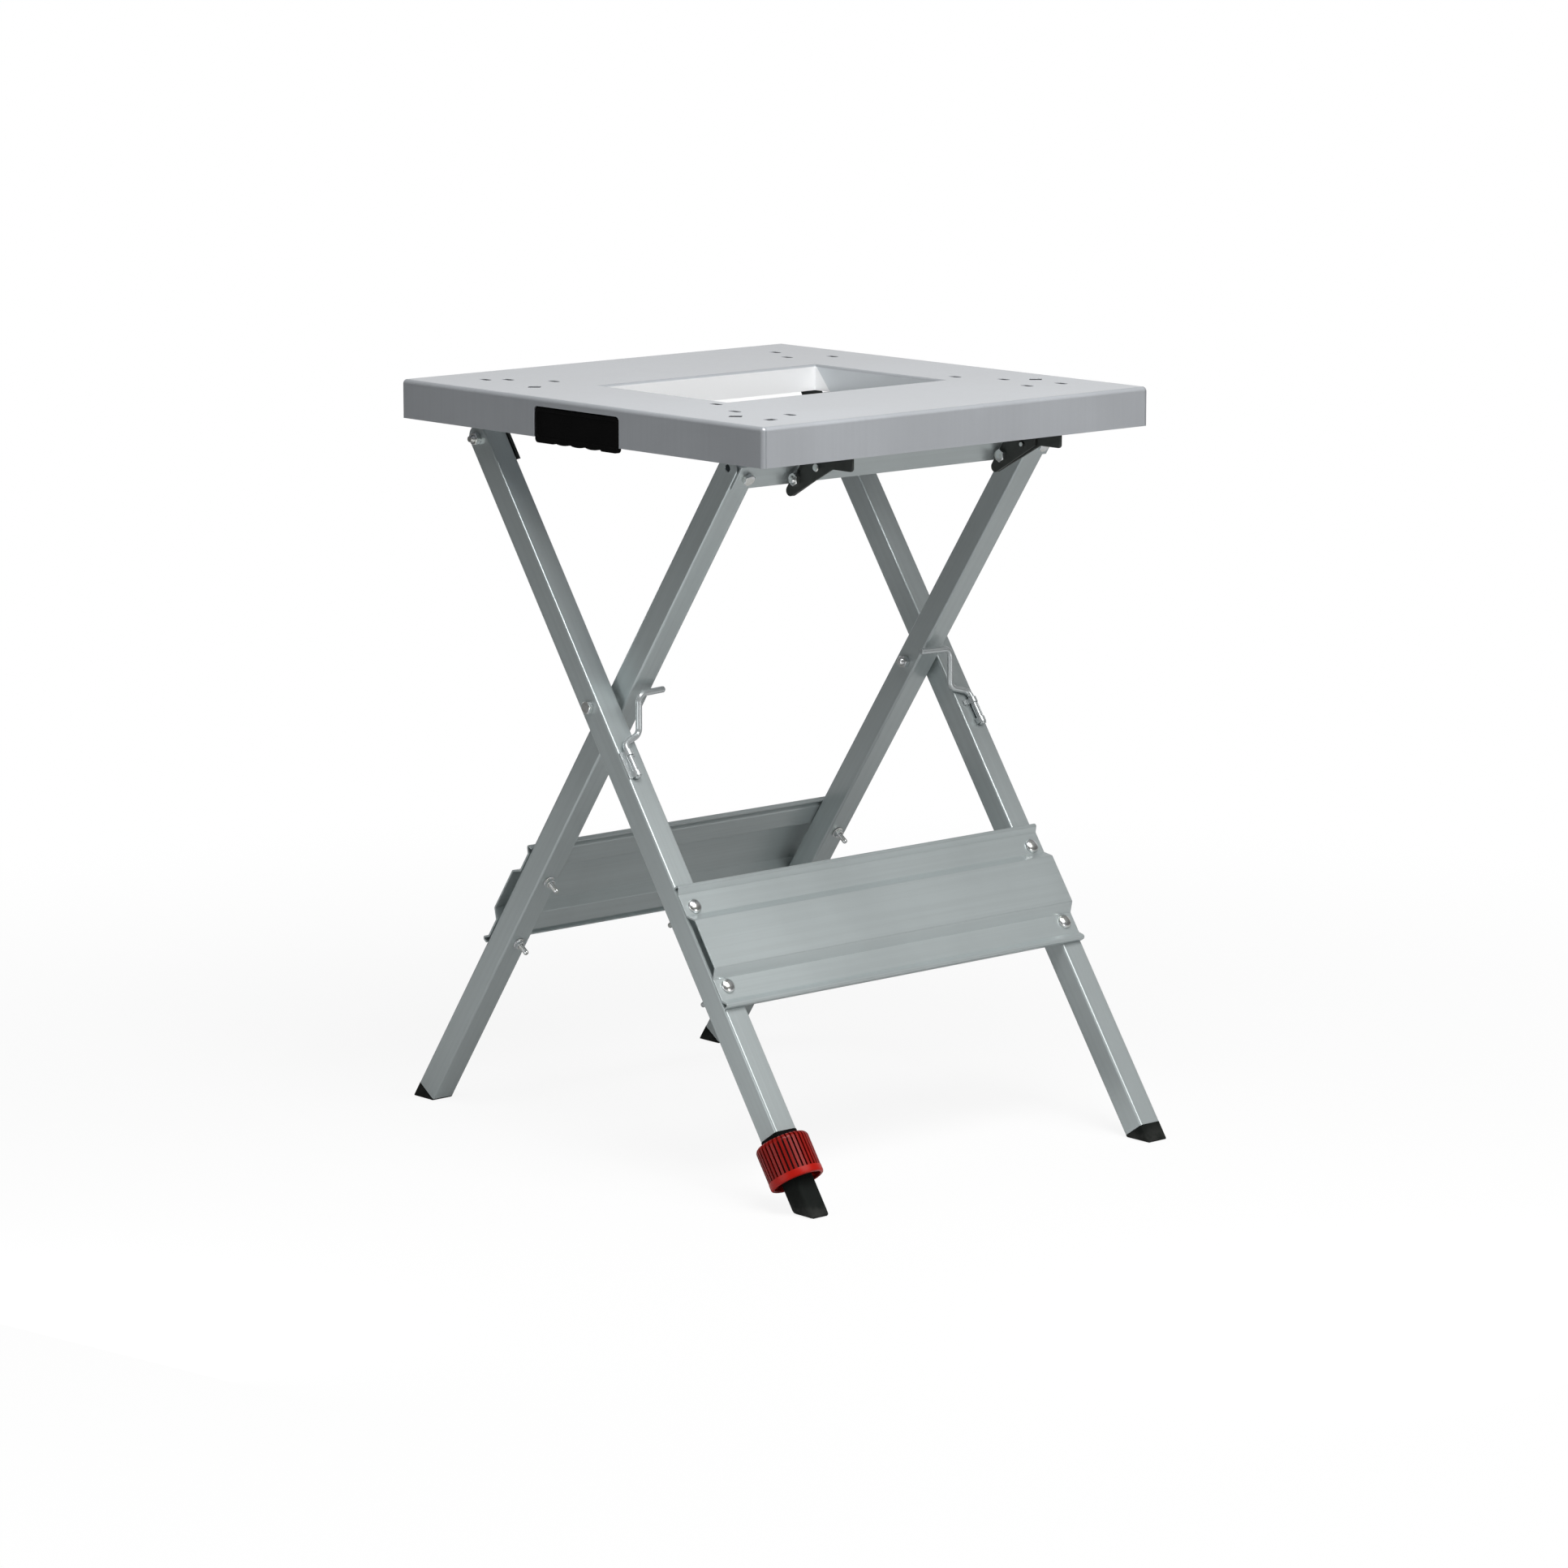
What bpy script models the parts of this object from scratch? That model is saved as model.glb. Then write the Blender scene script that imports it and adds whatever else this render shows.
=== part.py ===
"""Folding stand for a miter saw: a sheet steel table on two pairs of crossed square tube legs.

Metres, +Z up, the front edge of the table along X and facing -Y, the floor at Z = 0.
Each pair of legs has a frame of its own at the crossing: Z runs up the leg and -Y is its front.
"""
from math import cos, pi, radians, sin, tan

import bmesh
import bpy
from mathutils import Matrix, Quaternion, Vector

for old in list(bpy.data.objects):
    bpy.data.objects.remove(old, do_unlink=True)

# Clearances
GAP = 0.0003
BOLT_FIT = 0.0003
SLOT_FIT = 0.0005
RUN_GAP = 0.0005

# Table
TABLE_WIDTH = 0.575
TABLE_DEPTH = 0.615
TABLE_HEIGHT = 0.850
SHEET = 0.002
SKIRT = 0.044
TABLE_EDGE = 0.004
OPENING_WIDTH = 0.324
OPENING_DEPTH = 0.216
OPENING_RIM = 0.030
BOLT_SLOT_WIDTH = 0.0085
BOLT_SLOT_LENGTH = 0.016
FRONT_SLOTS = ((0.189, 0.104), (0.215, 0.163), (0.243, 0.192), (0.191, 0.226), (0.235, 0.243))
REAR_SLOTS = ((0.181, 0.181), (0.228, 0.150), (0.196, 0.218), (0.219, 0.240))

# Carry handle
HANDLE_LENGTH = 0.142
HANDLE_TOP_DROP = 0.011
HANDLE_BELOW_SKIRT = 0.006
HANDLE_CORNER = 0.005
HANDLE_BACK = 0.003
HANDLE_LAP = 0.006
HANDLE_NOTCH_PITCH = 0.0255
HANDLE_NOTCH_COUNT = 4
HANDLE_NOTCH_RADIUS = 0.003

# Legs
TUBE = 0.030
TUBE_WALL = 0.0015
TUBE_EDGE = 0.002
LEG_INSET = 0.0315
LEG_GAP = 0.005
LEG_TILT = radians(34.4)
HINGE_INSET = 0.1154
HINGE_DROP = 0.0583

# Panels
PANEL_LIFT = 0.315
REAR_PANEL_LIFT = 0.3117
PANEL_BOLT_SPAN = 0.097
PANEL_RAISED = 0.058
PANEL_STEP_RUN = 0.0095
PANEL_STEP_RISE = 0.010
PANEL_BAND = 0.026
PANEL_LIP_RUN = 0.0085
PANEL_LIP_RISE = 0.008
PANEL_OVERHANG = 0.0005

# Fasteners
M6_RADIUS = 0.003
M6_ACROSS = 0.010
M6_NUT = 0.0055
M6_FLANGE_RADIUS = 0.007
M6_DOME_RADIUS = 0.0087
M6_DOME_RISE = 0.0045
M6_THREAD_END = 0.0125
M8_RADIUS = 0.004
M8_ACROSS = 0.013
M8_HEAD = 0.0053
M8_NUT = 0.0065
M8_THREAD_END = 0.005
NUT_FLANGE = 0.0014
BOLT_SIDES = 12

# Cross bar on the inner legs
BAR_WIDTH = 0.032
BAR_THICKNESS = 0.003
BAR_BOLT_REACH = 0.018

# Rear hinge brackets
BRACKET_PLATE = 0.003
BRACKET_SIDE_GAP = 0.0008
BRACKET_FRONT = 0.0165
BRACKET_TAIL = 0.038
BRACKET_HEEL = 0.027
BRACKET_TOP_FRONT = 0.014
BRACKET_TOP_REAR = 0.048
BRACKET_FLANGE = 0.022
BRACKET_FLANGE_INSET = 0.006

# Front catches
CATCH_X = 0.1535
CATCH_CLEAR = 0.0022
CATCH_PIVOT_RADIUS = 0.008
CATCH_TAIL_RADIUS = 0.006
CATCH_TAIL_DROP = 0.0185
CATCH_TAIL_SWEEP = radians(148)
CATCH_PIVOT_SWEEP = radians(80)
CATCH_FRONT_INSET = 0.0385
CATCH_NOSE = 0.010
CATCH_NOSE_GAP = 0.0012
CATCH_FLANGE = 0.016
FLAG_DROP = 0.059
FLAG_HEIGHT = 0.021
FLAG_LENGTH = 0.032
FLAG_INSET = 0.0015
FLAG_CORNER = 0.004
LEVER_NECK_DROP = 0.006
STUD_REACH = 0.036
STUD_ANGLE = radians(154.5)
STUD_RADIUS = 0.0025
STUD_HEAD_RADIUS = 0.0045
STUD_HEAD = 0.003
LEVER_SWING = radians(17)

# Wire locks
WIRE_RADIUS = 0.004
WIRE_OFFSET = 0.005
WIRE_BEND = 0.009
WIRE_FOOT_LOW = 0.099
WIRE_FOOT_HIGH = 0.048
WIRE_INWARD = 0.025
WIRE_RISE = 0.045
WIRE_TIP = 0.041
WIRE_TIP_BACK = 0.006
CLIP_SHEET = 0.0015
CLIP_FIT = 0.0004
CLIP_LOW = 0.097
CLIP_HIGH = 0.065
CLIP_FLANGE = 0.0042

# Feet
FOOT_SOLE = 0.002
FOOT_EDGE = 0.002
PLUG_LENGTH = 0.025
PLUG_FIT = 0.0003

# Adjustable foot
SOCKET_LIFT = 0.0925
SOCKET_COLLAR = 0.003
KNOB_RADIUS = 0.0305
KNOB_RIB = 0.0011
KNOB_RIBS = 40
KNOB_HEIGHT = 0.0495
KNOB_RIM = 0.008
KNOB_WALL = 0.0035
KNOB_CEILING = 0.010
KNOB_EDGE = 0.004
SPINDLE_RADIUS = 0.006
SPINDLE_LENGTH = 0.040
PIN_RADIUS = 0.005
PIN_LENGTH = 0.018
BLOCK_EDGE = 0.004

# Places that follow from the sizes
OUTER_LEG_X = TABLE_WIDTH / 2 - LEG_INSET
INNER_LEG_X = OUTER_LEG_X - TUBE - LEG_GAP
HINGE_Y = TABLE_DEPTH / 2 - HINGE_INSET
HINGE_Z = TABLE_HEIGHT - HINGE_DROP
PIVOT_REACH = HINGE_Y / sin(LEG_TILT)
CROSS_HEIGHT = HINGE_Z - PIVOT_REACH * cos(LEG_TILT)
LEG_REACH = CROSS_HEIGHT / cos(LEG_TILT)
PANEL_DROP = LEG_REACH - PANEL_LIFT
REAR_PANEL_DROP = LEG_REACH - REAR_PANEL_LIFT
SOCKET_END = LEG_REACH - SOCKET_LIFT
UNDERSIDE = TABLE_HEIGHT - SHEET - GAP
TABLE_LOW = TABLE_HEIGHT - SKIRT
FOOT_END = (CROSS_HEIGHT - FOOT_SOLE - TUBE / 2 * sin(LEG_TILT)) / cos(LEG_TILT)
BAR_FRONT = TUBE / 2 + GAP + BAR_THICKNESS
WIRE_X = OUTER_LEG_X + WIRE_OFFSET
WIRE_Y = -(TUBE / 2 + RUN_GAP + WIRE_RADIUS)
BRACKET_X = OUTER_LEG_X - TUBE / 2 - BRACKET_SIDE_GAP
SIDES = (("left", -1), ("right", 1))

# Finishes: colour, roughness, metallic
GREY_PAINT = ((0.34, 0.36, 0.37), 0.45, 0.2)
TOP_PAINT = ((0.53, 0.56, 0.60), 0.50, 0.1)
DARK_STEEL = ((0.035, 0.038, 0.037), 0.45, 0.4)
ZINC = ((0.62, 0.63, 0.64), 0.28, 1.0)
BLACK_PLASTIC = ((0.012, 0.012, 0.012), 0.50, 0.0)
BLACK_RUBBER = ((0.015, 0.015, 0.016), 0.75, 0.0)
RED_PLASTIC = ((0.45, 0.012, 0.02), 0.40, 0.0)

scene = bpy.context.scene
parts = bpy.data.collections.new("miter_saw_stand")
cutters = bpy.data.collections.new("cutters")
scene.collection.children.link(parts)
scene.collection.children.link(cutters)


def frame(name, place, tilt=0.0, parent=None):
    """An empty on a joint axis that carries the pieces of one moving group."""
    empty = bpy.data.objects.new(name, None)
    parts.objects.link(empty)
    empty.parent = parent
    empty.location = place
    empty.rotation_euler = (tilt, 0.0, 0.0)
    return empty


def solid(name, mesh, carrier, finish):
    """A named piece whose mesh is written in its carrier's frame."""
    colour, roughness, metallic = finish
    paint = bpy.data.materials.new(name + "_finish")
    paint.use_nodes = True
    shader = paint.node_tree.nodes["Principled BSDF"]
    shader.inputs["Base Color"].default_value = (*colour, 1.0)
    shader.inputs["Roughness"].default_value = roughness
    shader.inputs["Metallic"].default_value = metallic
    mesh.name = name
    mesh.materials.append(paint)
    piece = bpy.data.objects.new(name, mesh)
    parts.objects.link(piece)
    piece.parent = carrier
    return piece


def combine(piece, mesh, operation="DIFFERENCE"):
    """Cut a mesh from a piece, or join it on."""
    tool = bpy.data.objects.new(piece.name + "_tool", mesh)
    cutters.objects.link(tool)
    tool.parent = piece.parent
    tool.hide_render = True
    tool.display_type = "WIRE"
    step = piece.modifiers.new(operation.title(), "BOOLEAN")
    step.operation = operation
    step.object = tool
    step.solver = "EXACT"


def to_mesh(form):
    """Close a bmesh off as a mesh with its faces turned outward."""
    bmesh.ops.recalc_face_normals(form, faces=form.faces)
    mesh = bpy.data.meshes.new("form")
    form.to_mesh(mesh)
    form.free()
    return mesh


def prism(loops, low, high, axis):
    """A flat outline with holes, swept from low to high: (y, z) along x, (x, y) along z."""
    curve = bpy.data.curves.new("outline", "CURVE")
    curve.dimensions = "2D"
    curve.fill_mode = "BOTH"
    curve.extrude = (high - low) / 2
    for loop in loops:
        spline = curve.splines.new("POLY")
        spline.points.add(len(loop) - 1)
        for point, (first, second) in zip(spline.points, loop):
            point.co = (first, second, 0.0, 1.0)
        spline.use_cyclic_u = True
    holder = bpy.data.objects.new("outline", curve)
    scene.collection.objects.link(holder)
    graph = bpy.context.evaluated_depsgraph_get()
    flat = bpy.data.meshes.new_from_object(holder.evaluated_get(graph))
    bpy.data.objects.remove(holder)
    bpy.data.curves.remove(curve)
    form = bmesh.new()
    form.from_mesh(flat)
    bpy.data.meshes.remove(flat)
    bmesh.ops.remove_doubles(form, verts=form.verts, dist=0.00001)
    middle = (low + high) / 2
    if axis == "x":
        turn = Matrix(((0, 0, 1, middle), (1, 0, 0, 0), (0, 1, 0, 0), (0, 0, 0, 1)))
    else:
        turn = Matrix.Translation((0, 0, middle))
    bmesh.ops.transform(form, matrix=turn, verts=form.verts)
    return to_mesh(form)


def box(low, high):
    """A plain block between two corners."""
    return prism([rectangle(low[0], high[0], low[1], high[1])], low[2], high[2], "z")


def soften(mesh, chosen, width, segments):
    """Round the edges whose two ends are picked by a test on their places."""
    form = bmesh.new()
    form.from_mesh(mesh)
    bmesh.ops.dissolve_limit(form, angle_limit=radians(0.5), verts=form.verts, edges=form.edges)
    edges = [edge for edge in form.edges if chosen(edge.verts[0].co, edge.verts[1].co)]
    bmesh.ops.bevel(form, geom=edges, offset=width, segments=segments, profile=0.5, affect="EDGES")
    return to_mesh(form)


def rods(runs, sides=BOLT_SIDES):
    """Straight round bars between pairs of points, used to drill holes."""
    form = bmesh.new()
    for start, end, radius in runs:
        start = Vector(start)
        end = Vector(end)
        turn = (end - start).to_track_quat("Z", "Y").to_matrix().to_4x4()
        place = Matrix.Translation((start + end) / 2) @ turn
        bmesh.ops.create_cone(form, cap_ends=True, segments=sides, radius1=radius, radius2=radius,
                              depth=(end - start).length, matrix=place)
    return to_mesh(form)


def loft(rings, looped=False):
    """A skin over rings of equal counts, looped back on itself or closed by its end rings."""
    form = bmesh.new()
    rows = [[form.verts.new(point) for point in ring] for ring in rings]
    after = rows[1:] + rows[:1] if looped else rows[1:]
    for row, following in zip(rows, after):
        for index in range(len(row)):
            step = (index + 1) % len(row)
            form.faces.new((row[index], row[step], following[step], following[index]))
    if not looped:
        form.faces.new(rows[0])
        form.faces.new(rows[-1])
    return to_mesh(form)


def ring(radius, height, sides=BOLT_SIDES):
    """A round ring of points."""
    turns = [2 * pi * index / sides for index in range(sides)]
    return [(radius * cos(turn), radius * sin(turn), height) for turn in turns]


def hexagon(across, height, sides=BOLT_SIDES):
    """A hexagonal ring of points, with a point in the middle of each flat."""
    points = []
    for index in range(sides):
        turn = 2 * pi * index / sides
        flat = (turn + pi / 6) % (pi / 3) - pi / 6
        radius = across / 2 / cos(flat)
        points.append((radius * cos(turn), radius * sin(turn), height))
    return points


def ribbed(radius, depth, height, ribs):
    """A ring of points that runs in and out once for each rib."""
    points = []
    for index in range(2 * ribs):
        turn = pi * index / ribs
        reach = radius - depth * (index % 2)
        points.append((reach * cos(turn), reach * sin(turn), height))
    return points


def aimed(mesh, place, direction):
    """Turn a mesh made along +Z to a direction and set it at a place."""
    turn = Vector(direction).to_track_quat("Z", "Y").to_matrix().to_4x4()
    mesh.transform(Matrix.Translation(place) @ turn)
    return mesh


def hex_bolt(radius, across, head, length, place, direction):
    """A hex bolt whose head bears at a place and whose shank runs in a direction."""
    chamfer = radius / 5
    rings = [ring(across * 0.42, -head), hexagon(across, chamfer - head), hexagon(across, 0)]
    rings += [ring(radius, 0), ring(radius, length - chamfer), ring(radius - chamfer, length)]
    return aimed(loft(rings), place, direction)


def dome_bolt(radius, dome, rise, length, place, direction):
    """A round-headed bolt whose head bears at a place and whose shank runs in a direction."""
    chamfer = radius / 5
    rings = [ring(dome * cos(turn), -rise * sin(turn)) for turn in (1.35, 0.95, 0.5, 0)]
    rings += [ring(radius, 0), ring(radius, length - chamfer), ring(radius - chamfer, length)]
    return aimed(loft(rings), place, direction)


def nut(radius, across, height, place, direction, flange=0.0):
    """A hex nut that bears at a place and stands up in a direction, with or without a flange."""
    bore = radius + BOLT_FIT
    rings = [ring(bore, 0)]
    if flange:
        rings += [ring(flange, 0), ring(flange, NUT_FLANGE / 2), ring(across * 0.6, NUT_FLANGE)]
        rings += [hexagon(across, NUT_FLANGE)]
    else:
        rings += [hexagon(across, 0)]
    rings += [hexagon(across, height), ring(bore, height)]
    return aimed(loft(rings, looped=True), place, direction)


def arc(centre, radius, start, end, steps):
    """Points along an arc from one angle to another."""
    points = []
    for index in range(steps + 1):
        turn = start + (end - start) * index / steps
        points.append((centre[0] + radius * cos(turn), centre[1] + radius * sin(turn)))
    return points


def circle(centre, radius):
    """A round hole's outline."""
    return arc(centre, radius, 0, 2 * pi * (1 - 1 / BOLT_SIDES), BOLT_SIDES - 1)


def rectangle(low_first, high_first, low_second, high_second):
    """A square-cornered outline."""
    return [(low_first, low_second), (high_first, low_second), (high_first, high_second),
            (low_first, high_second)]


def rounded(low_first, high_first, low_second, high_second, corner, steps=3):
    """A rectangle with rounded corners."""
    low_a = low_first + corner
    high_a = high_first - corner
    low_b = low_second + corner
    high_b = high_second - corner
    points = arc((high_a, high_b), corner, 0, pi / 2, steps)
    points += arc((low_a, high_b), corner, pi / 2, pi, steps)
    points += arc((low_a, low_b), corner, pi, 1.5 * pi, steps)
    return points + arc((high_a, low_b), corner, 1.5 * pi, 2 * pi, steps)


def bent_sheet(path, thickness):
    """The closed outline of a bent sheet from its middle line."""
    points = [Vector(point) for point in path]
    runs = [(after - before).normalized() for before, after in zip(points, points[1:])]
    near = []
    far = []
    for index, point in enumerate(points):
        before = runs[max(index - 1, 0)]
        after = runs[min(index, len(runs) - 1)]
        along = (before + after).normalized()
        across = Vector((-along.y, along.x))
        reach = thickness / 2 / across.dot(Vector((-after.y, after.x)))
        near.append(tuple(point + across * reach))
        far.append(tuple(point - across * reach))
    return near + far[::-1]


def on_outer(front, up):
    """World (y, z) of a point at rest on the outer legs: in front of the axis, up from the crossing."""
    return (up * sin(LEG_TILT) - front * cos(LEG_TILT),
            CROSS_HEIGHT + up * cos(LEG_TILT) + front * sin(LEG_TILT))


def on_inner(front, up):
    """World (y, z) of a point at rest on the inner legs: in front of the axis, up from the crossing."""
    return (-up * sin(LEG_TILT) - front * cos(LEG_TILT),
            CROSS_HEIGHT + up * cos(LEG_TILT) - front * sin(LEG_TILT))


def from_hinge(point):
    """A world (y, z) point as seen from the table's hinge."""
    return (point[0] - HINGE_Y, point[1] - HINGE_Z)


def span(side, near, far):
    """An x range on the left or the right side."""
    return tuple(sorted((side * near, side * far)))


# Frames on the joint axes
outer_frame = frame("outer_frame", (0, 0, CROSS_HEIGHT), -LEG_TILT)
inner_frame = frame("inner_frame", (0, 0, CROSS_HEIGHT), LEG_TILT)
table_frame = frame("table_frame", (0, HINGE_Y, HINGE_Z))
foot_frame = frame("foot_frame", (-OUTER_LEG_X, 0, -SOCKET_END), 0.0, outer_frame)
knob_frame = frame("knob_frame", (0, 0, 0), 0.0, foot_frame)


def make_table():
    """The table pan with its skirt, its cut-out with a turned-down rim, and its bolt slots."""
    half_x = TABLE_WIDTH / 2
    low_y = -TABLE_DEPTH / 2 - HINGE_Y
    high_y = TABLE_DEPTH / 2 - HINGE_Y
    top = TABLE_HEIGHT - HINGE_Z
    low = TABLE_LOW - HINGE_Z
    outline = rounded(-half_x, half_x, low_y, high_y, TABLE_EDGE)
    block = prism([outline], low, top, "z")
    pan = soften(block, lambda a, b: min(a.z, b.z) > top - GAP, TABLE_EDGE * 0.9, 3)
    table = solid("table_top", pan, table_frame, TOP_PAINT)
    half_w = OPENING_WIDTH / 2
    near = -OPENING_DEPTH / 2 - HINGE_Y
    far = OPENING_DEPTH / 2 - HINGE_Y
    inside = rectangle(SHEET - half_x, half_x - SHEET, low_y + SHEET, high_y - SHEET)
    rim = rectangle(-half_w - SHEET, half_w + SHEET, near - SHEET, far + SHEET)
    combine(table, prism([inside, rim], low - SKIRT, top - SHEET, "z"))
    under = top - OPENING_RIM
    combine(table, box((-half_w - 2 * SHEET, near - 2 * SHEET, low - SKIRT),
                       (half_w + 2 * SHEET, far + 2 * SHEET, under)))
    combine(table, box((-half_w, near, low), (half_w, far, top + SKIRT)))
    slots = bmesh.new()
    radius = BOLT_SLOT_WIDTH / 2
    reach = BOLT_SLOT_LENGTH / 2 - radius
    places = [(x, -y) for x, y in FRONT_SLOTS] + list(REAR_SLOTS)
    for x, y in places:
        for _, side in SIDES:
            centre = y - HINGE_Y
            loop = arc((side * x, centre + reach), radius, 0, pi, 5)
            loop += arc((side * x, centre - reach), radius, pi, 2 * pi, 5)
            slot = prism([loop], top - 3 * SHEET, top + SHEET, "z")
            slots.from_mesh(slot)
            bpy.data.meshes.remove(slot)
    combine(table, to_mesh(slots))
    window = HANDLE_LENGTH / 2 + GAP
    ceiling = top - HANDLE_TOP_DROP + GAP
    combine(table, box((-half_x - SHEET, -window - HINGE_Y, low - SHEET),
                       (2 * SHEET - half_x, window - HINGE_Y, ceiling)))


def make_handle():
    """The grip that fills the window in the left skirt, lapped behind the sheet."""
    half = HANDLE_LENGTH / 2
    top = TABLE_HEIGHT - HANDLE_TOP_DROP - HINGE_Z
    low = TABLE_LOW - HANDLE_BELOW_SKIRT - HINGE_Z
    face = -TABLE_WIDTH / 2
    back = face + SHEET + GAP + HANDLE_BACK
    front = rounded(-half - HINGE_Y, half - HINGE_Y, low, top, HANDLE_CORNER)
    handle = solid("carry_handle", prism([front], face, back, "x"), table_frame, BLACK_PLASTIC)
    lap = rounded(-half - HANDLE_LAP - HINGE_Y, half + HANDLE_LAP - HINGE_Y,
                  TABLE_LOW - HINGE_Z, top + HANDLE_LAP, HANDLE_CORNER)
    combine(handle, prism([lap], face + SHEET + GAP, back, "x"), "UNION")
    first = -HANDLE_NOTCH_PITCH * (HANDLE_NOTCH_COUNT - 1) / 2 - HINGE_Y
    notches = []
    for index in range(HANDLE_NOTCH_COUNT):
        y = first + index * HANDLE_NOTCH_PITCH
        notches.append(((face - SHEET, y, low), (back + SHEET, y, low), HANDLE_NOTCH_RADIUS))
    combine(handle, rods(notches))


def make_leg(name, carrier, x, end, drop, bar_hole):
    """A square tube with a rounded top end and its bolt holes."""
    half = TUBE / 2
    hollow = half - TUBE_WALL
    outer = rounded(x - half, x + half, -half, half, TUBE_EDGE)
    inner = rectangle(x - hollow, x + hollow, -hollow, hollow)
    leg = solid(name, prism([outer, inner], -end, PIVOT_REACH + half, "z"), carrier, GREY_PAINT)
    shoulder = arc((0, PIVOT_REACH), half, pi, 0, 10)
    shoulder = [(-TUBE, PIVOT_REACH)] + shoulder + [(TUBE, PIVOT_REACH)]
    shoulder += [(TUBE, PIVOT_REACH + TUBE), (-TUBE, PIVOT_REACH + TUBE)]
    combine(leg, prism([shoulder], x - TUBE, x + TUBE, "x"))
    bore = M8_RADIUS + BOLT_FIT
    holes = [((x - TUBE, 0, z), (x + TUBE, 0, z), bore) for z in (0, PIVOT_REACH)]
    for side in (-1, 1):
        z = side * PANEL_BOLT_SPAN / 2 - drop
        holes.append(((x, -TUBE, z), (x, TUBE, z), M6_RADIUS + BOLT_FIT))
    if bar_hole:
        holes.append(((x, -TUBE, PIVOT_REACH), (x, -TUBE / 4, PIVOT_REACH), bore))
    combine(leg, rods(holes))


def make_panel(name, carrier, facing, leg_x, drop):
    """A pressed panel across a pair of legs, with its domed bolts and flange nuts."""
    band = TUBE / 2 + GAP + SHEET / 2
    raised = PANEL_RAISED / 2
    step = raised + PANEL_STEP_RUN
    edge = step + PANEL_BAND
    lip = edge + PANEL_LIP_RUN
    half = [(-SHEET / 2, lip), (PANEL_LIP_RISE, lip), (0, edge), (0, step), (PANEL_STEP_RISE, raised)]
    section = half + [(out, -along) for out, along in half[::-1]]
    path = [(facing * (band + out), along - drop) for out, along in section]
    reach = leg_x + TUBE / 2 + PANEL_OVERHANG
    panel = solid(name, prism([bent_sheet(path, SHEET)], -reach, reach, "x"), carrier, GREY_PAINT)
    holes = []
    head = TUBE / 2 + GAP + SHEET + GAP
    tail = TUBE / 2 + GAP
    length = head + tail + M6_NUT + M6_THREAD_END
    for side_name, side in SIDES:
        for row_name, row in (("upper", 1), ("lower", -1)):
            x = side * leg_x
            z = row * PANEL_BOLT_SPAN / 2 - drop
            holes.append(((x, 0, z), (x, facing * 2 * band, z), M6_RADIUS + BOLT_FIT))
            label = f"{name}_{{}}_{row_name}_{side_name}"
            bolt = dome_bolt(M6_RADIUS, M6_DOME_RADIUS, M6_DOME_RISE, length,
                             (x, facing * head, z), (0, -facing, 0))
            solid(label.format("bolt"), bolt, carrier, ZINC)
            fixing = nut(M6_RADIUS, M6_ACROSS, M6_NUT, (x, -facing * tail, z), (0, -facing, 0),
                         M6_FLANGE_RADIUS)
            solid(label.format("nut"), fixing, carrier, ZINC)
    combine(panel, rods(holes))


def make_crossings():
    """The bolts, nuts and spacers on which the legs fold."""
    for name, side in SIDES:
        outside = OUTER_LEG_X + TUBE / 2 + GAP
        inside = INNER_LEG_X - TUBE / 2 - GAP
        length = outside - inside + M8_NUT + M8_THREAD_END
        bolt = hex_bolt(M8_RADIUS, M8_ACROSS, M8_HEAD, length, (side * outside, 0, 0), (-side, 0, 0))
        solid("crossing_bolt_" + name, bolt, outer_frame, ZINC)
        fixing = nut(M8_RADIUS, M8_ACROSS, M8_NUT, (side * inside, 0, 0), (-side, 0, 0))
        solid("crossing_nut_" + name, fixing, outer_frame, ZINC)
        near = INNER_LEG_X + TUBE / 2 + GAP
        thick = LEG_GAP - 2 * GAP
        bore = M8_RADIUS + BOLT_FIT
        rings = [ring(bore, 0), ring(2 * M8_RADIUS, 0), ring(2 * M8_RADIUS, thick), ring(bore, thick)]
        spacer = aimed(loft(rings, looped=True), (side * near, 0, 0), (side, 0, 0))
        solid("crossing_spacer_" + name, spacer, outer_frame, ZINC)


def make_cross_bar():
    """The flat bar across the tops of the inner legs, with its two bolts."""
    reach = INNER_LEG_X + TUBE / 2
    bar = box((-reach, -BAR_FRONT, PIVOT_REACH - BAR_WIDTH / 2),
              (reach, BAR_THICKNESS - BAR_FRONT, PIVOT_REACH + BAR_WIDTH / 2))
    piece = solid("cross_bar", bar, inner_frame, GREY_PAINT)
    holes = []
    for name, side in SIDES:
        x = side * INNER_LEG_X
        holes.append(((x, -2 * BAR_FRONT, PIVOT_REACH), (x, 0, PIVOT_REACH), M8_RADIUS + BOLT_FIT))
        bolt = hex_bolt(M8_RADIUS, M8_ACROSS, M8_HEAD, BAR_BOLT_REACH,
                        (x, -BAR_FRONT - GAP, PIVOT_REACH), (0, 1, 0))
        solid("cross_bar_bolt_" + name, bolt, inner_frame, ZINC)
    combine(piece, rods(holes))


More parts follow.
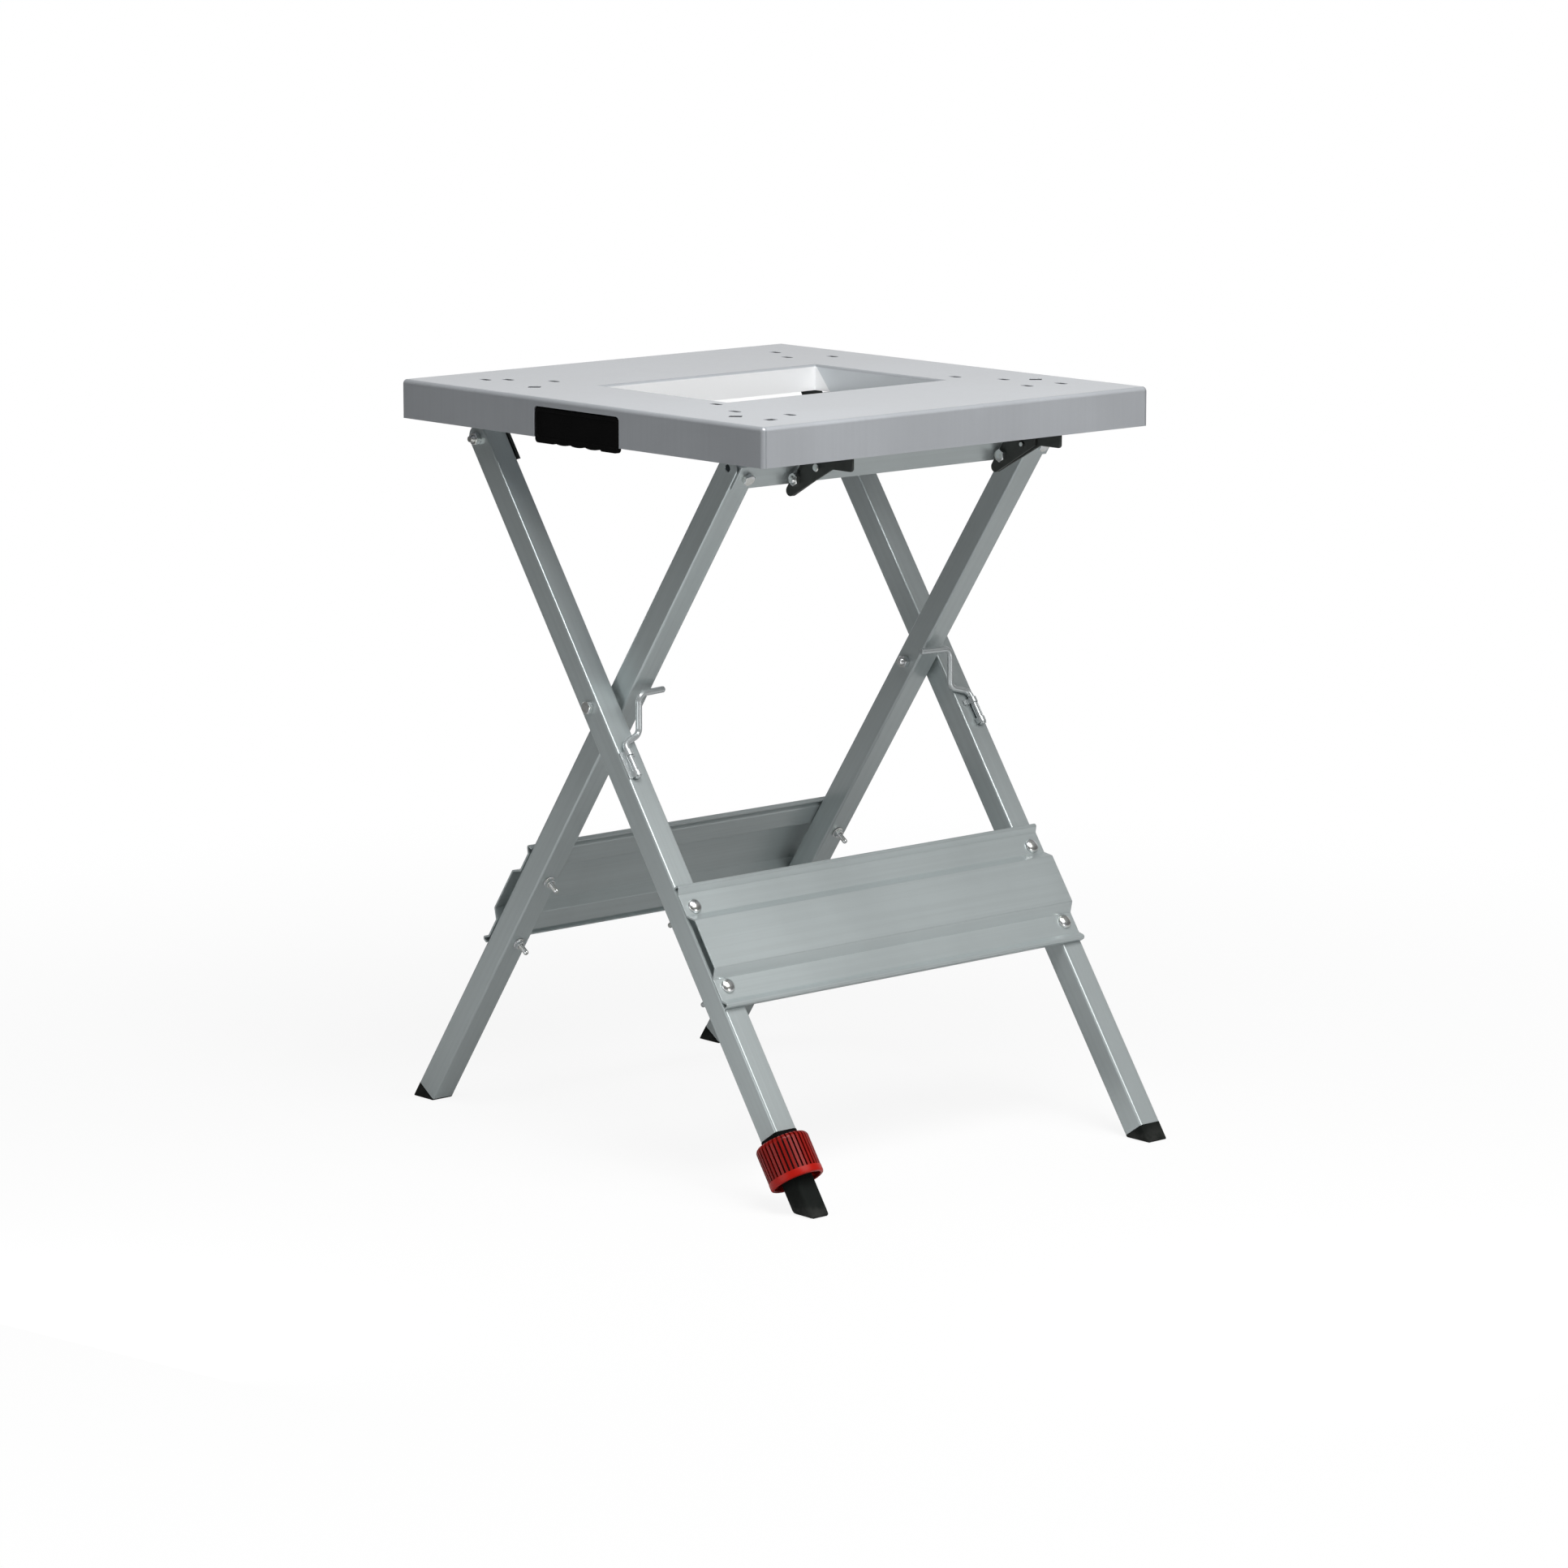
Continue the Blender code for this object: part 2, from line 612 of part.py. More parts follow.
def make_rear_hinges():
    """The brackets under the table and the bolts on which it turns on the outer legs."""
    for name, side in SIDES:
        outline = [on_outer(BRACKET_FRONT, PIVOT_REACH - BRACKET_TAIL),
                   on_outer(BRACKET_FRONT, PIVOT_REACH + TUBE / 2),
                   (HINGE_Y - BRACKET_TOP_FRONT, UNDERSIDE),
                   (HINGE_Y + BRACKET_TOP_REAR, UNDERSIDE),
                   on_outer(-BRACKET_FRONT, PIVOT_REACH),
                   on_outer(-BRACKET_FRONT, PIVOT_REACH - BRACKET_HEEL)]
        outline = [from_hinge(point) for point in outline]
        inner = BRACKET_X - BRACKET_PLATE
        hole = circle((0, 0), M8_RADIUS + BOLT_FIT)
        low, high = span(side, inner, BRACKET_X)
        bracket = solid("hinge_bracket_" + name, prism([outline, hole], low, high, "x"),
                        table_frame, DARK_STEEL)
        low, high = span(side, inner + BRACKET_PLATE / 2, BRACKET_X + BRACKET_FLANGE)
        top = UNDERSIDE - HINGE_Z
        flange = box((low, BRACKET_FLANGE_INSET - BRACKET_TOP_FRONT, top - BRACKET_PLATE),
                     (high, BRACKET_TOP_REAR - BRACKET_FLANGE_INSET, top))
        combine(bracket, flange, "UNION")
        start = inner - GAP
        outside = OUTER_LEG_X + TUBE / 2 + GAP
        length = outside - start + M8_NUT + M8_THREAD_END
        bolt = hex_bolt(M8_RADIUS, M8_ACROSS, M8_HEAD, length, (side * start, 0, PIVOT_REACH),
                        (side, 0, 0))
        solid("hinge_bolt_" + name, bolt, outer_frame, ZINC)
        fixing = nut(M8_RADIUS, M8_ACROSS, M8_NUT, (side * outside, 0, PIVOT_REACH), (side, 0, 0))
        solid("hinge_nut_" + name, fixing, outer_frame, ZINC)


def make_catches():
    """The front catches: a fixed bracket, a flag lever beside it, its pivot bolt and its stud."""
    rear = BAR_FRONT + CATCH_CLEAR
    pivot = on_inner(rear + CATCH_PIVOT_RADIUS, PIVOT_REACH)
    tail = on_inner(rear + CATCH_TAIL_RADIUS, PIVOT_REACH - CATCH_TAIL_DROP)
    flag_low = TABLE_HEIGHT - FLAG_DROP
    flag_high = flag_low + FLAG_HEIGHT
    flag_front = SHEET + FLAG_INSET - TABLE_DEPTH / 2
    notch = (flag_front + FLAG_LENGTH, flag_low)
    neck = (notch[0] + FLAG_LENGTH, flag_high - LEVER_NECK_DROP)
    stud = (pivot[0] + STUD_REACH * cos(STUD_ANGLE), pivot[1] + STUD_REACH * sin(STUD_ANGLE))
    bar_top = on_inner(TUBE / 2 + GAP, PIVOT_REACH + BAR_WIDTH / 2)
    nose_low = bar_top[1] + CATCH_NOSE_GAP
    nose_up = (nose_low - CROSS_HEIGHT + rear * sin(LEG_TILT)) / cos(LEG_TILT)
    nose_rear = bar_top[0] + CATCH_NOSE
    front = CATCH_FRONT_INSET + SHEET - TABLE_DEPTH / 2
    tail_arc = arc(tail, CATCH_TAIL_RADIUS, LEG_TILT - CATCH_TAIL_SWEEP, LEG_TILT, 6)
    plate = tail_arc + [on_inner(rear, nose_up), (nose_rear, nose_low), (nose_rear, UNDERSIDE),
                        (front, UNDERSIDE), (front, flag_low)]
    lever = tail_arc + arc(pivot, CATCH_PIVOT_RADIUS, LEG_TILT, LEG_TILT + CATCH_PIVOT_SWEEP, 5)
    lever += [neck, (notch[0], flag_high)]
    lever += arc((flag_front + FLAG_CORNER, flag_high - FLAG_CORNER), FLAG_CORNER, pi / 2, pi, 3)
    lever += arc((flag_front + FLAG_CORNER, flag_low + FLAG_CORNER), FLAG_CORNER, pi, 1.5 * pi, 3)
    lever += [notch]
    wide = STUD_RADIUS + SLOT_FIT
    swept = STUD_ANGLE - LEVER_SWING
    start = (pivot[0] + STUD_REACH * cos(swept), pivot[1] + STUD_REACH * sin(swept))
    slot = arc(pivot, STUD_REACH + wide, swept, STUD_ANGLE, 5)
    slot += arc(stud, wide, STUD_ANGLE, STUD_ANGLE + pi, 5)[1:-1]
    slot += arc(pivot, STUD_REACH - wide, STUD_ANGLE, swept, 5)
    slot += arc(start, wide, swept + pi, swept + 2 * pi, 5)[1:-1]
    eye = circle(pivot, M8_RADIUS + BOLT_FIT)
    plate_loops = [[from_hinge(point) for point in loop] for loop in (plate, eye, slot)]
    lever_loops = [lever, eye, circle(stud, STUD_RADIUS + BOLT_FIT)]
    lever_loops = [[(y - pivot[0], z - pivot[1]) for y, z in loop] for loop in lever_loops]
    inner = CATCH_X - BRACKET_PLATE
    lever_near = CATCH_X + RUN_GAP
    lever_far = lever_near + BRACKET_PLATE
    top = UNDERSIDE - HINGE_Z
    seat = from_hinge(pivot)
    for name, side in SIDES:
        low, high = span(side, inner, CATCH_X)
        bracket = solid("catch_bracket_" + name, prism(plate_loops, low, high, "x"),
                        table_frame, DARK_STEEL)
        low, high = span(side, inner - CATCH_FLANGE, CATCH_X - BRACKET_PLATE / 2)
        flange = box((low, front + BRACKET_FLANGE_INSET - HINGE_Y, top - BRACKET_PLATE),
                     (high, nose_rear - BRACKET_FLANGE_INSET - HINGE_Y, top))
        combine(bracket, flange, "UNION")
        lever_frame = frame("catch_lever_frame_" + name, (0, *seat), 0.0, table_frame)
        low, high = span(side, lever_near, lever_far)
        solid("catch_lever_" + name, prism(lever_loops, low, high, "x"), lever_frame, DARK_STEEL)
        start = inner - GAP
        outside = lever_far + GAP
        length = outside - start + M8_NUT + M8_THREAD_END / 2
        bolt = hex_bolt(M8_RADIUS, M8_ACROSS, M8_HEAD, length, (side * start, *seat), (side, 0, 0))
        solid("catch_bolt_" + name, bolt, table_frame, ZINC)
        fixing = nut(M8_RADIUS, M8_ACROSS, M8_NUT, (side * outside, *seat), (side, 0, 0))
        solid("catch_nut_" + name, fixing, table_frame, ZINC)
        length = outside - inner + BRACKET_PLATE
        place = (side * outside, stud[0] - pivot[0], stud[1] - pivot[1])
        rings = [ring(STUD_HEAD_RADIUS, -STUD_HEAD), ring(STUD_HEAD_RADIUS, 0)]
        rings += [ring(STUD_RADIUS, 0), ring(STUD_RADIUS, length)]
        solid("catch_stud_" + name, aimed(loft(rings), place, (-side, 0, 0)), lever_frame, ZINC)


def bent_path(corners, radius, steps=5):
    """The middle line of a bent rod, with each corner rounded."""
    points = [Vector(corner) for corner in corners]
    path = [points[0]]
    for before, corner, after in zip(points, points[1:], points[2:]):
        back = (before - corner).normalized()
        onward = (after - corner).normalized()
        half = back.angle(onward) / 2
        reach = radius / tan(half)
        centre = corner + (back + onward).normalized() * (radius / sin(half))
        start = corner + back * reach - centre
        turn = start.rotation_difference(corner + onward * reach - centre)
        for index in range(steps + 1):
            step = start.copy()
            step.rotate(Quaternion(turn.axis, turn.angle * index / steps))
            path.append(centre + step)
    return path + [points[-1]]


def make_wire_locks():
    """The bent wire locks beside the crossings and the saddle clips that hold them."""
    middle = (CLIP_LOW + CLIP_HIGH) / 2
    for name, side in SIDES:
        hold = frame("wire_lock_frame_" + name, (side * WIRE_X, WIRE_Y, -middle), 0.0, outer_frame)
        inward = -side * WIRE_INWARD
        upright = (inward, -WIRE_RISE * sin(LEG_TILT), WIRE_RISE * cos(LEG_TILT) + middle - WIRE_FOOT_HIGH)
        corners = [(0, 0, middle - WIRE_FOOT_LOW), (0, 0, middle - WIRE_FOOT_HIGH - WIRE_BEND),
                   (inward, 0, middle - WIRE_FOOT_HIGH), upright,
                   (inward - side * WIRE_TIP, upright[1] + WIRE_TIP_BACK * cos(LEG_TILT),
                    upright[2] + WIRE_TIP_BACK * sin(LEG_TILT))]
        curve = bpy.data.curves.new("wire", "CURVE")
        curve.dimensions = "3D"
        curve.bevel_depth = WIRE_RADIUS
        curve.bevel_resolution = 2
        curve.use_fill_caps = True
        path = bent_path(corners, WIRE_BEND)
        spline = curve.splines.new("POLY")
        spline.points.add(len(path) - 1)
        for point, place in zip(spline.points, path):
            point.co = (*place, 1.0)
        holder = bpy.data.objects.new("wire", curve)
        scene.collection.objects.link(holder)
        graph = bpy.context.evaluated_depsgraph_get()
        swept = bpy.data.meshes.new_from_object(holder.evaluated_get(graph))
        bpy.data.objects.remove(holder)
        bpy.data.curves.remove(curve)
        form = bmesh.new()
        form.from_mesh(swept)
        bpy.data.meshes.remove(swept)
        bmesh.ops.remove_doubles(form, verts=form.verts, dist=0.00001)
        solid("wire_lock_" + name, to_mesh(form), hold, GREY_PAINT)
        seat = -(TUBE / 2 + GAP + CLIP_SHEET / 2)
        bend = WIRE_RADIUS + CLIP_FIT + CLIP_SHEET / 2
        saddle = [(side * WIRE_X + x, y) for x, y in arc((0, WIRE_Y), bend, pi, 2 * pi, 8)]
        first = (saddle[0][0] - CLIP_FLANGE, seat)
        last = (saddle[-1][0] + CLIP_FLANGE, seat)
        path = [first, (saddle[0][0], seat)] + saddle + [(saddle[-1][0], seat), last]
        clip = prism([bent_sheet(path, CLIP_SHEET)], -CLIP_LOW, -CLIP_HIGH, "z")
        solid("wire_clip_" + name, clip, outer_frame, GREY_PAINT)


def wedge(top, lean, width, edge):
    """A block from a level across the leg down to the floor, with its lower edges rounded."""
    half = width / 2
    floor = [(y, lean * y * tan(LEG_TILT) - LEG_REACH) for y in (half, -half)]
    block = prism([[(-half, -top), (half, -top)] + floor], -half, half, "x")
    return soften(block, lambda a, b: min(a.z, b.z) < -top - GAP, edge, 2)


def make_foot_cap(name, carrier, x, lean):
    """A plain foot: a wedge under the tube with a plug inside it."""
    block = wedge(FOOT_END + GAP, lean, TUBE, FOOT_EDGE)
    block.transform(Matrix.Translation((x, 0, 0)))
    cap = solid(name, block, carrier, BLACK_RUBBER)
    plug = TUBE / 2 - TUBE_WALL - PLUG_FIT
    stem = box((x - plug, -plug, -FOOT_END - FOOT_SOLE), (x + plug, plug, PLUG_LENGTH - FOOT_END))
    combine(cap, stem, "UNION")


def make_adjustable_foot():
    """The front left foot: a socket in the tube, a ribbed knob with its spindle, and a foot block."""
    half = TUBE / 2
    collar_low = GAP + SOCKET_COLLAR
    outline = rounded(-half, half, -half, half, TUBE_EDGE)
    collar = prism([outline], -collar_low, -GAP, "z")
    place = Matrix.Translation((-OUTER_LEG_X, 0, -SOCKET_END))
    collar.transform(place)
    socket = solid("foot_socket", collar, outer_frame, BLACK_PLASTIC)
    plug = half - TUBE_WALL - PLUG_FIT
    stem = box((-plug, -plug, -collar_low / 2), (plug, plug, PLUG_LENGTH))
    stem.transform(place)
    combine(socket, stem, "UNION")
    bore = rods([((0, 0, -half), (0, 0, 2 * PLUG_LENGTH), SPINDLE_RADIUS + BOLT_FIT)])
    bore.transform(place)
    combine(socket, bore)
    top = -collar_low - RUN_GAP
    low = top - KNOB_HEIGHT
    ceiling = top - KNOB_CEILING
    pin_low = ceiling - PIN_LENGTH
    sides = 2 * KNOB_RIBS
    inside = KNOB_RADIUS - KNOB_WALL
    rings = [ring(SPINDLE_RADIUS, top + SPINDLE_LENGTH, sides), ring(SPINDLE_RADIUS, top, sides),
             ring(KNOB_RADIUS - KNOB_RIB - KNOB_EDGE, top, sides),
             ribbed(KNOB_RADIUS, KNOB_RIB, top - KNOB_EDGE, KNOB_RIBS),
             ribbed(KNOB_RADIUS, KNOB_RIB, low + KNOB_RIM, KNOB_RIBS),
             ring(KNOB_RADIUS, low + KNOB_RIM - KNOB_RIB, sides), ring(KNOB_RADIUS, low, sides),
             ring(inside, low, sides), ring(inside, ceiling, sides),
             ring(PIN_RADIUS, ceiling, sides), ring(PIN_RADIUS, pin_low, sides)]
    solid("foot_knob", loft(rings), knob_frame, RED_PLASTIC)
    block = wedge(SOCKET_END - ceiling + GAP, 1, TUBE, BLOCK_EDGE)
    block.transform(Matrix.Translation((0, 0, SOCKET_END)))
    foot = solid("foot_block", block, foot_frame, BLACK_RUBBER)
    seat = rods([((0, 0, pin_low - GAP), (0, 0, top), PIN_RADIUS + BOLT_FIT)])
    combine(foot, seat)


make_table()
make_handle()
make_leg("outer_leg_left", outer_frame, -OUTER_LEG_X, SOCKET_END, PANEL_DROP, False)
make_leg("outer_leg_right", outer_frame, OUTER_LEG_X, FOOT_END, PANEL_DROP, False)
make_leg("inner_leg_left", inner_frame, -INNER_LEG_X, FOOT_END, REAR_PANEL_DROP, True)
make_leg("inner_leg_right", inner_frame, INNER_LEG_X, FOOT_END, REAR_PANEL_DROP, True)
make_panel("front_panel", outer_frame, -1, OUTER_LEG_X, PANEL_DROP)
make_panel("rear_panel", inner_frame, 1, INNER_LEG_X, REAR_PANEL_DROP)
make_crossings()
make_cross_bar()
make_rear_hinges()
make_catches()
make_wire_locks()
make_foot_cap("foot_cap_outer_right", outer_frame, OUTER_LEG_X, 1)
make_foot_cap("foot_cap_inner_left", inner_frame, -INNER_LEG_X, -1)
make_foot_cap("foot_cap_inner_right", inner_frame, INNER_LEG_X, -1)
make_adjustable_foot()
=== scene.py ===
"""The looks of a folding miter saw stand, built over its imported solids.

Metres, +Z up, the front edge of the table along X and facing -Y, the floor at Z = 0.
Pieces of the legs are modelled along an upright leg at the origin and then set on their leg:
Z runs up the leg from the crossing and -Y is its front.
"""
from math import cos, pi, radians, sin, tan

import bmesh
import bpy
from mathutils import Matrix, Vector


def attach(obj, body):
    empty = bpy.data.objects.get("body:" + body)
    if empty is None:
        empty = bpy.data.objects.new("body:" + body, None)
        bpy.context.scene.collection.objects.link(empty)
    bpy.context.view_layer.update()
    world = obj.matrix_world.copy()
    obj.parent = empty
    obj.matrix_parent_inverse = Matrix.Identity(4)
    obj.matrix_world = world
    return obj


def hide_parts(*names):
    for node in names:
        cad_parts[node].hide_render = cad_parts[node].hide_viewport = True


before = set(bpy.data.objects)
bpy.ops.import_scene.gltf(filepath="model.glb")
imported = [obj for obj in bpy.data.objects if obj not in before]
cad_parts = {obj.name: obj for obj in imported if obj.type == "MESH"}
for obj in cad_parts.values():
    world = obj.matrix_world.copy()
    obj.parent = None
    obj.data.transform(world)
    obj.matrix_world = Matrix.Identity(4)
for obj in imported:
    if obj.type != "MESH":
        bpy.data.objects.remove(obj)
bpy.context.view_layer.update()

# Sizes of the stand
TABLE_X = 0.2875
TABLE_Y = 0.3075
TABLE_TOP = 0.850
TABLE_LOW = 0.806
SHEET = 0.002
TABLE_BEND = 0.0048
CUT_X = 0.162
CUT_Y = 0.108
CUT_RIM = 0.030
RIM_BEND = 0.0036
TUBE = 0.015
TUBE_WALL = 0.0015
TUBE_ROUND = 0.0026
OUTER_X = 0.256
INNER_X = 0.221
TILT = radians(34.4)
HINGE_Y = 0.1921
HINGE_Z = 0.7917
REACH = HINGE_Y / sin(TILT)
CROSS_Z = HINGE_Z - REACH * cos(TILT)
LEG_REACH = CROSS_Z / cos(TILT)
FOOT_END = (CROSS_Z - 0.002 - TUBE * sin(TILT)) / cos(TILT)
SOCKET_END = LEG_REACH - 0.0925
FRONT_DROP = LEG_REACH - 0.315
REAR_DROP = LEG_REACH - 0.3117
COLLAR = 0.0025
PANEL_PAST = 0.0005
BOLT_ROW = 0.0485
UNDERSIDE = TABLE_TOP - SHEET - 0.0003
SKIN = 0.0003
M6, M6_ACROSS, M6_NUT, M6_FLANGE, M6_HOLE = 0.003, 0.010, 0.0055, 0.007, 0.0033
M8, M8_ACROSS, M8_NUT, M8_HEAD, M8_HOLE = 0.004, 0.013, 0.0065, 0.0053, 0.0043
NUT_FIT = 0.00025
KNOB = 0.0305
KNOB_TOP = -SOCKET_END - 0.0038
KNOB_LOW = KNOB_TOP - 0.0495
KNOB_GROOVES = 36
KNOB_GROOVE = 0.0025
KNOB_WEBS = 12
SIDES = (("left", -1), ("right", 1))

ON_OUTER = Matrix.Translation((0, 0, CROSS_Z)) @ Matrix.Rotation(-TILT, 4, "X")
ON_INNER = Matrix.Translation((0, 0, CROSS_Z)) @ Matrix.Rotation(TILT, 4, "X")
AS_MADE = Matrix.Identity(4)


# Modelling by hand
def pick_nothing():
    bpy.ops.object.select_all(action="DESELECT")


def bake_place():
    """Put the selected piece's place, turn and size into its mesh."""
    bpy.ops.object.transform_apply(location=True, rotation=True, scale=True)


def alone(piece):
    """Select one piece and nothing else."""
    pick_nothing()
    piece.select_set(True)
    bpy.context.view_layer.objects.active = piece


class Edit:
    """Edit mode on one piece: corners, edges and faces are picked by a test, then worked."""

    def __init__(self, piece):
        self.piece = piece

    def __enter__(self):
        alone(self.piece)
        bpy.ops.object.mode_set(mode="EDIT")
        return self

    def __exit__(self, *_):
        bpy.ops.object.mode_set(mode="OBJECT")

    def pick(self, kind, test):
        bpy.ops.mesh.select_mode(type=kind)
        bpy.ops.mesh.select_all(action="DESELECT")
        form = bmesh.from_edit_mesh(self.piece.data)
        items = {"VERT": form.verts, "EDGE": form.edges, "FACE": form.faces}[kind]
        for item in [item for item in items if test(item)]:
            item.select_set(True)
        form.select_flush_mode()
        bmesh.update_edit_mesh(self.piece.data)

    def pick_all(self):
        bpy.ops.mesh.select_all(action="SELECT")

    def push(self, by):
        bpy.ops.mesh.extrude_region_move(TRANSFORM_OT_translate={"value": tuple(by)})

    def bevel(self, width, segments=3):
        bpy.ops.mesh.bevel(offset=width, segments=segments, profile=0.5, affect="EDGES", clamp_overlap=True,
                           loop_slide=False)

    def swing(self, angle, about, axis, steps):
        """Sweep what is picked round an axis, by the right-hand rule."""
        bpy.ops.mesh.spin(steps=steps, angle=-angle, center=about, axis=axis)

    def tidy(self):
        self.pick_all()
        bpy.ops.mesh.remove_doubles(threshold=0.00001)
        bpy.ops.mesh.normals_make_consistent(inside=False)

    def face(self, test, direction):
        """Turn an open skin over if the face picked by a test looks away from a direction."""
        form = bmesh.from_edit_mesh(self.piece.data)
        chosen = next(face for face in form.faces if test(face))
        if chosen.normal.dot(Vector(direction)) < 0:
            self.pick_all()
            bpy.ops.mesh.flip_normals()


def middle(edge):
    return (edge.verts[0].co + edge.verts[1].co) / 2


def near(value, goal):
    return abs(value - goal) < 0.0001


def ends_at(edge, axis, goal):
    """Both ends of an edge lie at one level along an axis."""
    return all(near(corner.co[axis], goal) for corner in edge.verts)


def on_axis(axis, value, height=0):
    """A point or direction along X or Y, at a height."""
    spot = [0, 0, height]
    spot[axis] = value
    return spot


def upright(edge):
    """An edge that runs straight up."""
    return near(edge.verts[0].co.x, edge.verts[1].co.x) and near(edge.verts[0].co.y, edge.verts[1].co.y)


def block(low, high):
    """A box between two corners."""
    pick_nothing()
    centre = [(a + b) / 2 for a, b in zip(low, high)]
    bpy.ops.mesh.primitive_cube_add(size=1, location=centre)
    piece = bpy.context.object
    piece.scale = [b - a for a, b in zip(low, high)]
    bake_place()
    return piece


def rod(start, end, radius, sides=32):
    """A round bar between two points, the start of a hole or a pin."""
    pick_nothing()
    start, end = Vector(start), Vector(end)
    turn = (end - start).to_track_quat("Z", "Y").to_euler()
    bpy.ops.mesh.primitive_cylinder_add(vertices=sides, radius=radius, depth=(end - start).length,
                                        location=(start + end) / 2, rotation=turn)
    bake_place()
    return bpy.context.object


def drawn(points, closed=False):
    """A line drawn from point to point by extruding a single corner."""
    pick_nothing()
    bpy.ops.mesh.primitive_plane_add(size=0.01, location=(0, 0, 0))
    piece = bpy.context.object
    points = [Vector(point) for point in points]
    with Edit(piece) as edit:
        bpy.ops.mesh.select_mode(type="VERT")
        edit.pick_all()
        bpy.ops.mesh.merge(type="CENTER")
        bpy.ops.transform.translate(value=points[0])
        for before, after in zip(points, points[1:]):
            bpy.ops.mesh.extrude_vertices_move(TRANSFORM_OT_translate={"value": tuple(after - before)})
        if closed:
            edit.pick("VERT", lambda v: (v.co - points[0]).length < 1e-6 or (v.co - points[-1]).length < 1e-6)
            bpy.ops.mesh.edge_face_add()
    return piece


def plate(outline, low, high, round_edge=0.0005):
    """A flat (y, z) outline cut from plate between two x levels, with its edges broken."""
    piece = drawn([(low, y, z) for y, z in outline], closed=True)
    with Edit(piece) as edit:
        edit.pick_all()
        bpy.ops.mesh.edge_face_add()
        edit.pick_all()
        edit.push((high - low, 0, 0))
        edit.tidy()
        if round_edge:
            edit.pick("EDGE", lambda e: ends_at(e, 0, low) or ends_at(e, 0, high))
            edit.bevel(round_edge, 2)
    return piece


def strip(points, by, thick):
    """A sheet bent along a line of points and drawn out by a length across it."""
    piece = drawn(points)
    with Edit(piece) as edit:
        edit.pick_all()
        edit.push(by)
        edit.tidy()
    wall(piece, thick, 0.0)
    return piece


def modify(piece, kind, **settings):
    """Add a modifier to a piece, set it and apply it."""
    alone(piece)
    step = piece.modifiers.new(kind, kind)
    for key, value in settings.items():
        setattr(step, key, value)
    bpy.ops.object.modifier_apply(modifier=step.name)


def wall(piece, thick, offset):
    """Give an open sheet its thickness."""
    modify(piece, "SOLIDIFY", thickness=thick, offset=offset, use_even_offset=True)


def broken_edges(piece, width, segments=2, over=50):
    """Break every edge sharper than an angle."""
    modify(piece, "BEVEL", width=width, segments=segments, limit_method="ANGLE", angle_limit=radians(over))


def turned(profile, steps=48):
    """A (radius, height) profile spun about the Z axis."""
    piece = drawn([(radius, 0, height) for radius, height in profile])
    with Edit(piece) as edit:
        edit.pick_all()
        edit.swing(2 * pi, (0, 0, 0), (0, 0, 1), steps)
        edit.tidy()
    return piece


def cut(piece, tool, operation="DIFFERENCE"):
    """Cut a tool away from a piece, join it on or keep what they share."""
    modify(piece, "BOOLEAN", operation=operation, object=tool, solver="EXACT")
    bpy.data.objects.remove(tool, do_unlink=True)
    return piece


def joined(pieces):
    """Put several shapes in one mesh."""
    pick_nothing()
    for piece in pieces:
        piece.select_set(True)
    bpy.context.view_layer.objects.active = pieces[0]
    bpy.ops.object.join()
    return pieces[0]


def another(piece):
    """A copy with a mesh of its own."""
    twin = piece.copy()
    twin.data = piece.data.copy()
    bpy.context.scene.collection.objects.link(twin)
    return twin


def aimed(piece, place, direction):
    """Turn a piece made along Z to a direction and set it at a place."""
    alone(piece)
    turn = Vector(direction).to_track_quat("Z", "Y").to_matrix().to_4x4()
    piece.matrix_world = Matrix.Translation(place) @ turn
    bake_place()
    return piece


def settle(piece, name, place, body, finish, nodes, smooth=32):
    """Set a finished piece on its body, in the place of the solids that it stands for."""
    alone(piece)
    piece.name = name
    piece.data.name = name
    piece.matrix_world = place
    bake_place()
    bpy.ops.object.shade_smooth_by_angle(angle=radians(smooth))
    modify(piece, "WEIGHTED_NORMAL", keep_sharp=True)
    piece.data.materials.clear()
    piece.data.materials.append(finish.material)
    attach(piece, body)
    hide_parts(*nodes)


def arc(centre, radius, start, end, steps):
    """Points along an arc from one angle to another."""
    turns = [start + (end - start) * index / steps for index in range(steps + 1)]
    return [(centre[0] + radius * cos(turn), centre[1] + radius * sin(turn)) for turn in turns]


def eased(points, radii, steps=5):
    """A flat path with each corner rounded."""
    points = [Vector(point) for point in points]
    path = [tuple(points[0])]
    for before, corner, after, radius in zip(points, points[1:], points[2:], radii):
        back, onward = (before - corner).normalized(), (after - corner).normalized()
        half = back.angle(onward) / 2
        centre = corner + (back + onward).normalized() * (radius / sin(half))
        start = corner + back * (radius / tan(half)) - centre
        sweep = start.angle_signed(corner + onward * (radius / tan(half)) - centre)
        for index in range(steps + 1):
            step = start.copy()
            step.rotate(Matrix.Rotation(-sweep * index / steps, 2))
            path.append(tuple(centre + step))
    return path + [tuple(points[-1])]


def rounded(low_a, high_a, low_b, high_b, corner, steps=5):
    """A rectangle with rounded corners, as a closed outline."""
    points = arc((high_a - corner, high_b - corner), corner, 0, pi / 2, steps)
    points += arc((low_a + corner, high_b - corner), corner, pi / 2, pi, steps)
    points += arc((low_a + corner, low_b + corner), corner, pi, 1.5 * pi, steps)
    return points + arc((high_a - corner, low_b + corner), corner, 1.5 * pi, 2 * pi, steps)


# Paint colours, and the colours of the painted highlight and painted shade on the table
TOP_SILVER = (0.515, 0.540, 0.572)
# Painted highlight on the table's cut-out rims, palest at their front and rear ends
RIM_HIGHLIGHT = (0.66, 0.70, 0.73)
RIM_END_HIGHLIGHT = (0.96, 0.97, 0.98)
# Painted shade: near black on the walls of the table's punched holes
PUNCHED_WALL_SHADE = (0.03, 0.03, 0.033)
LEG_SILVER = (0.525, 0.580, 0.585)
WIRE_SILVER = (0.600, 0.640, 0.650)


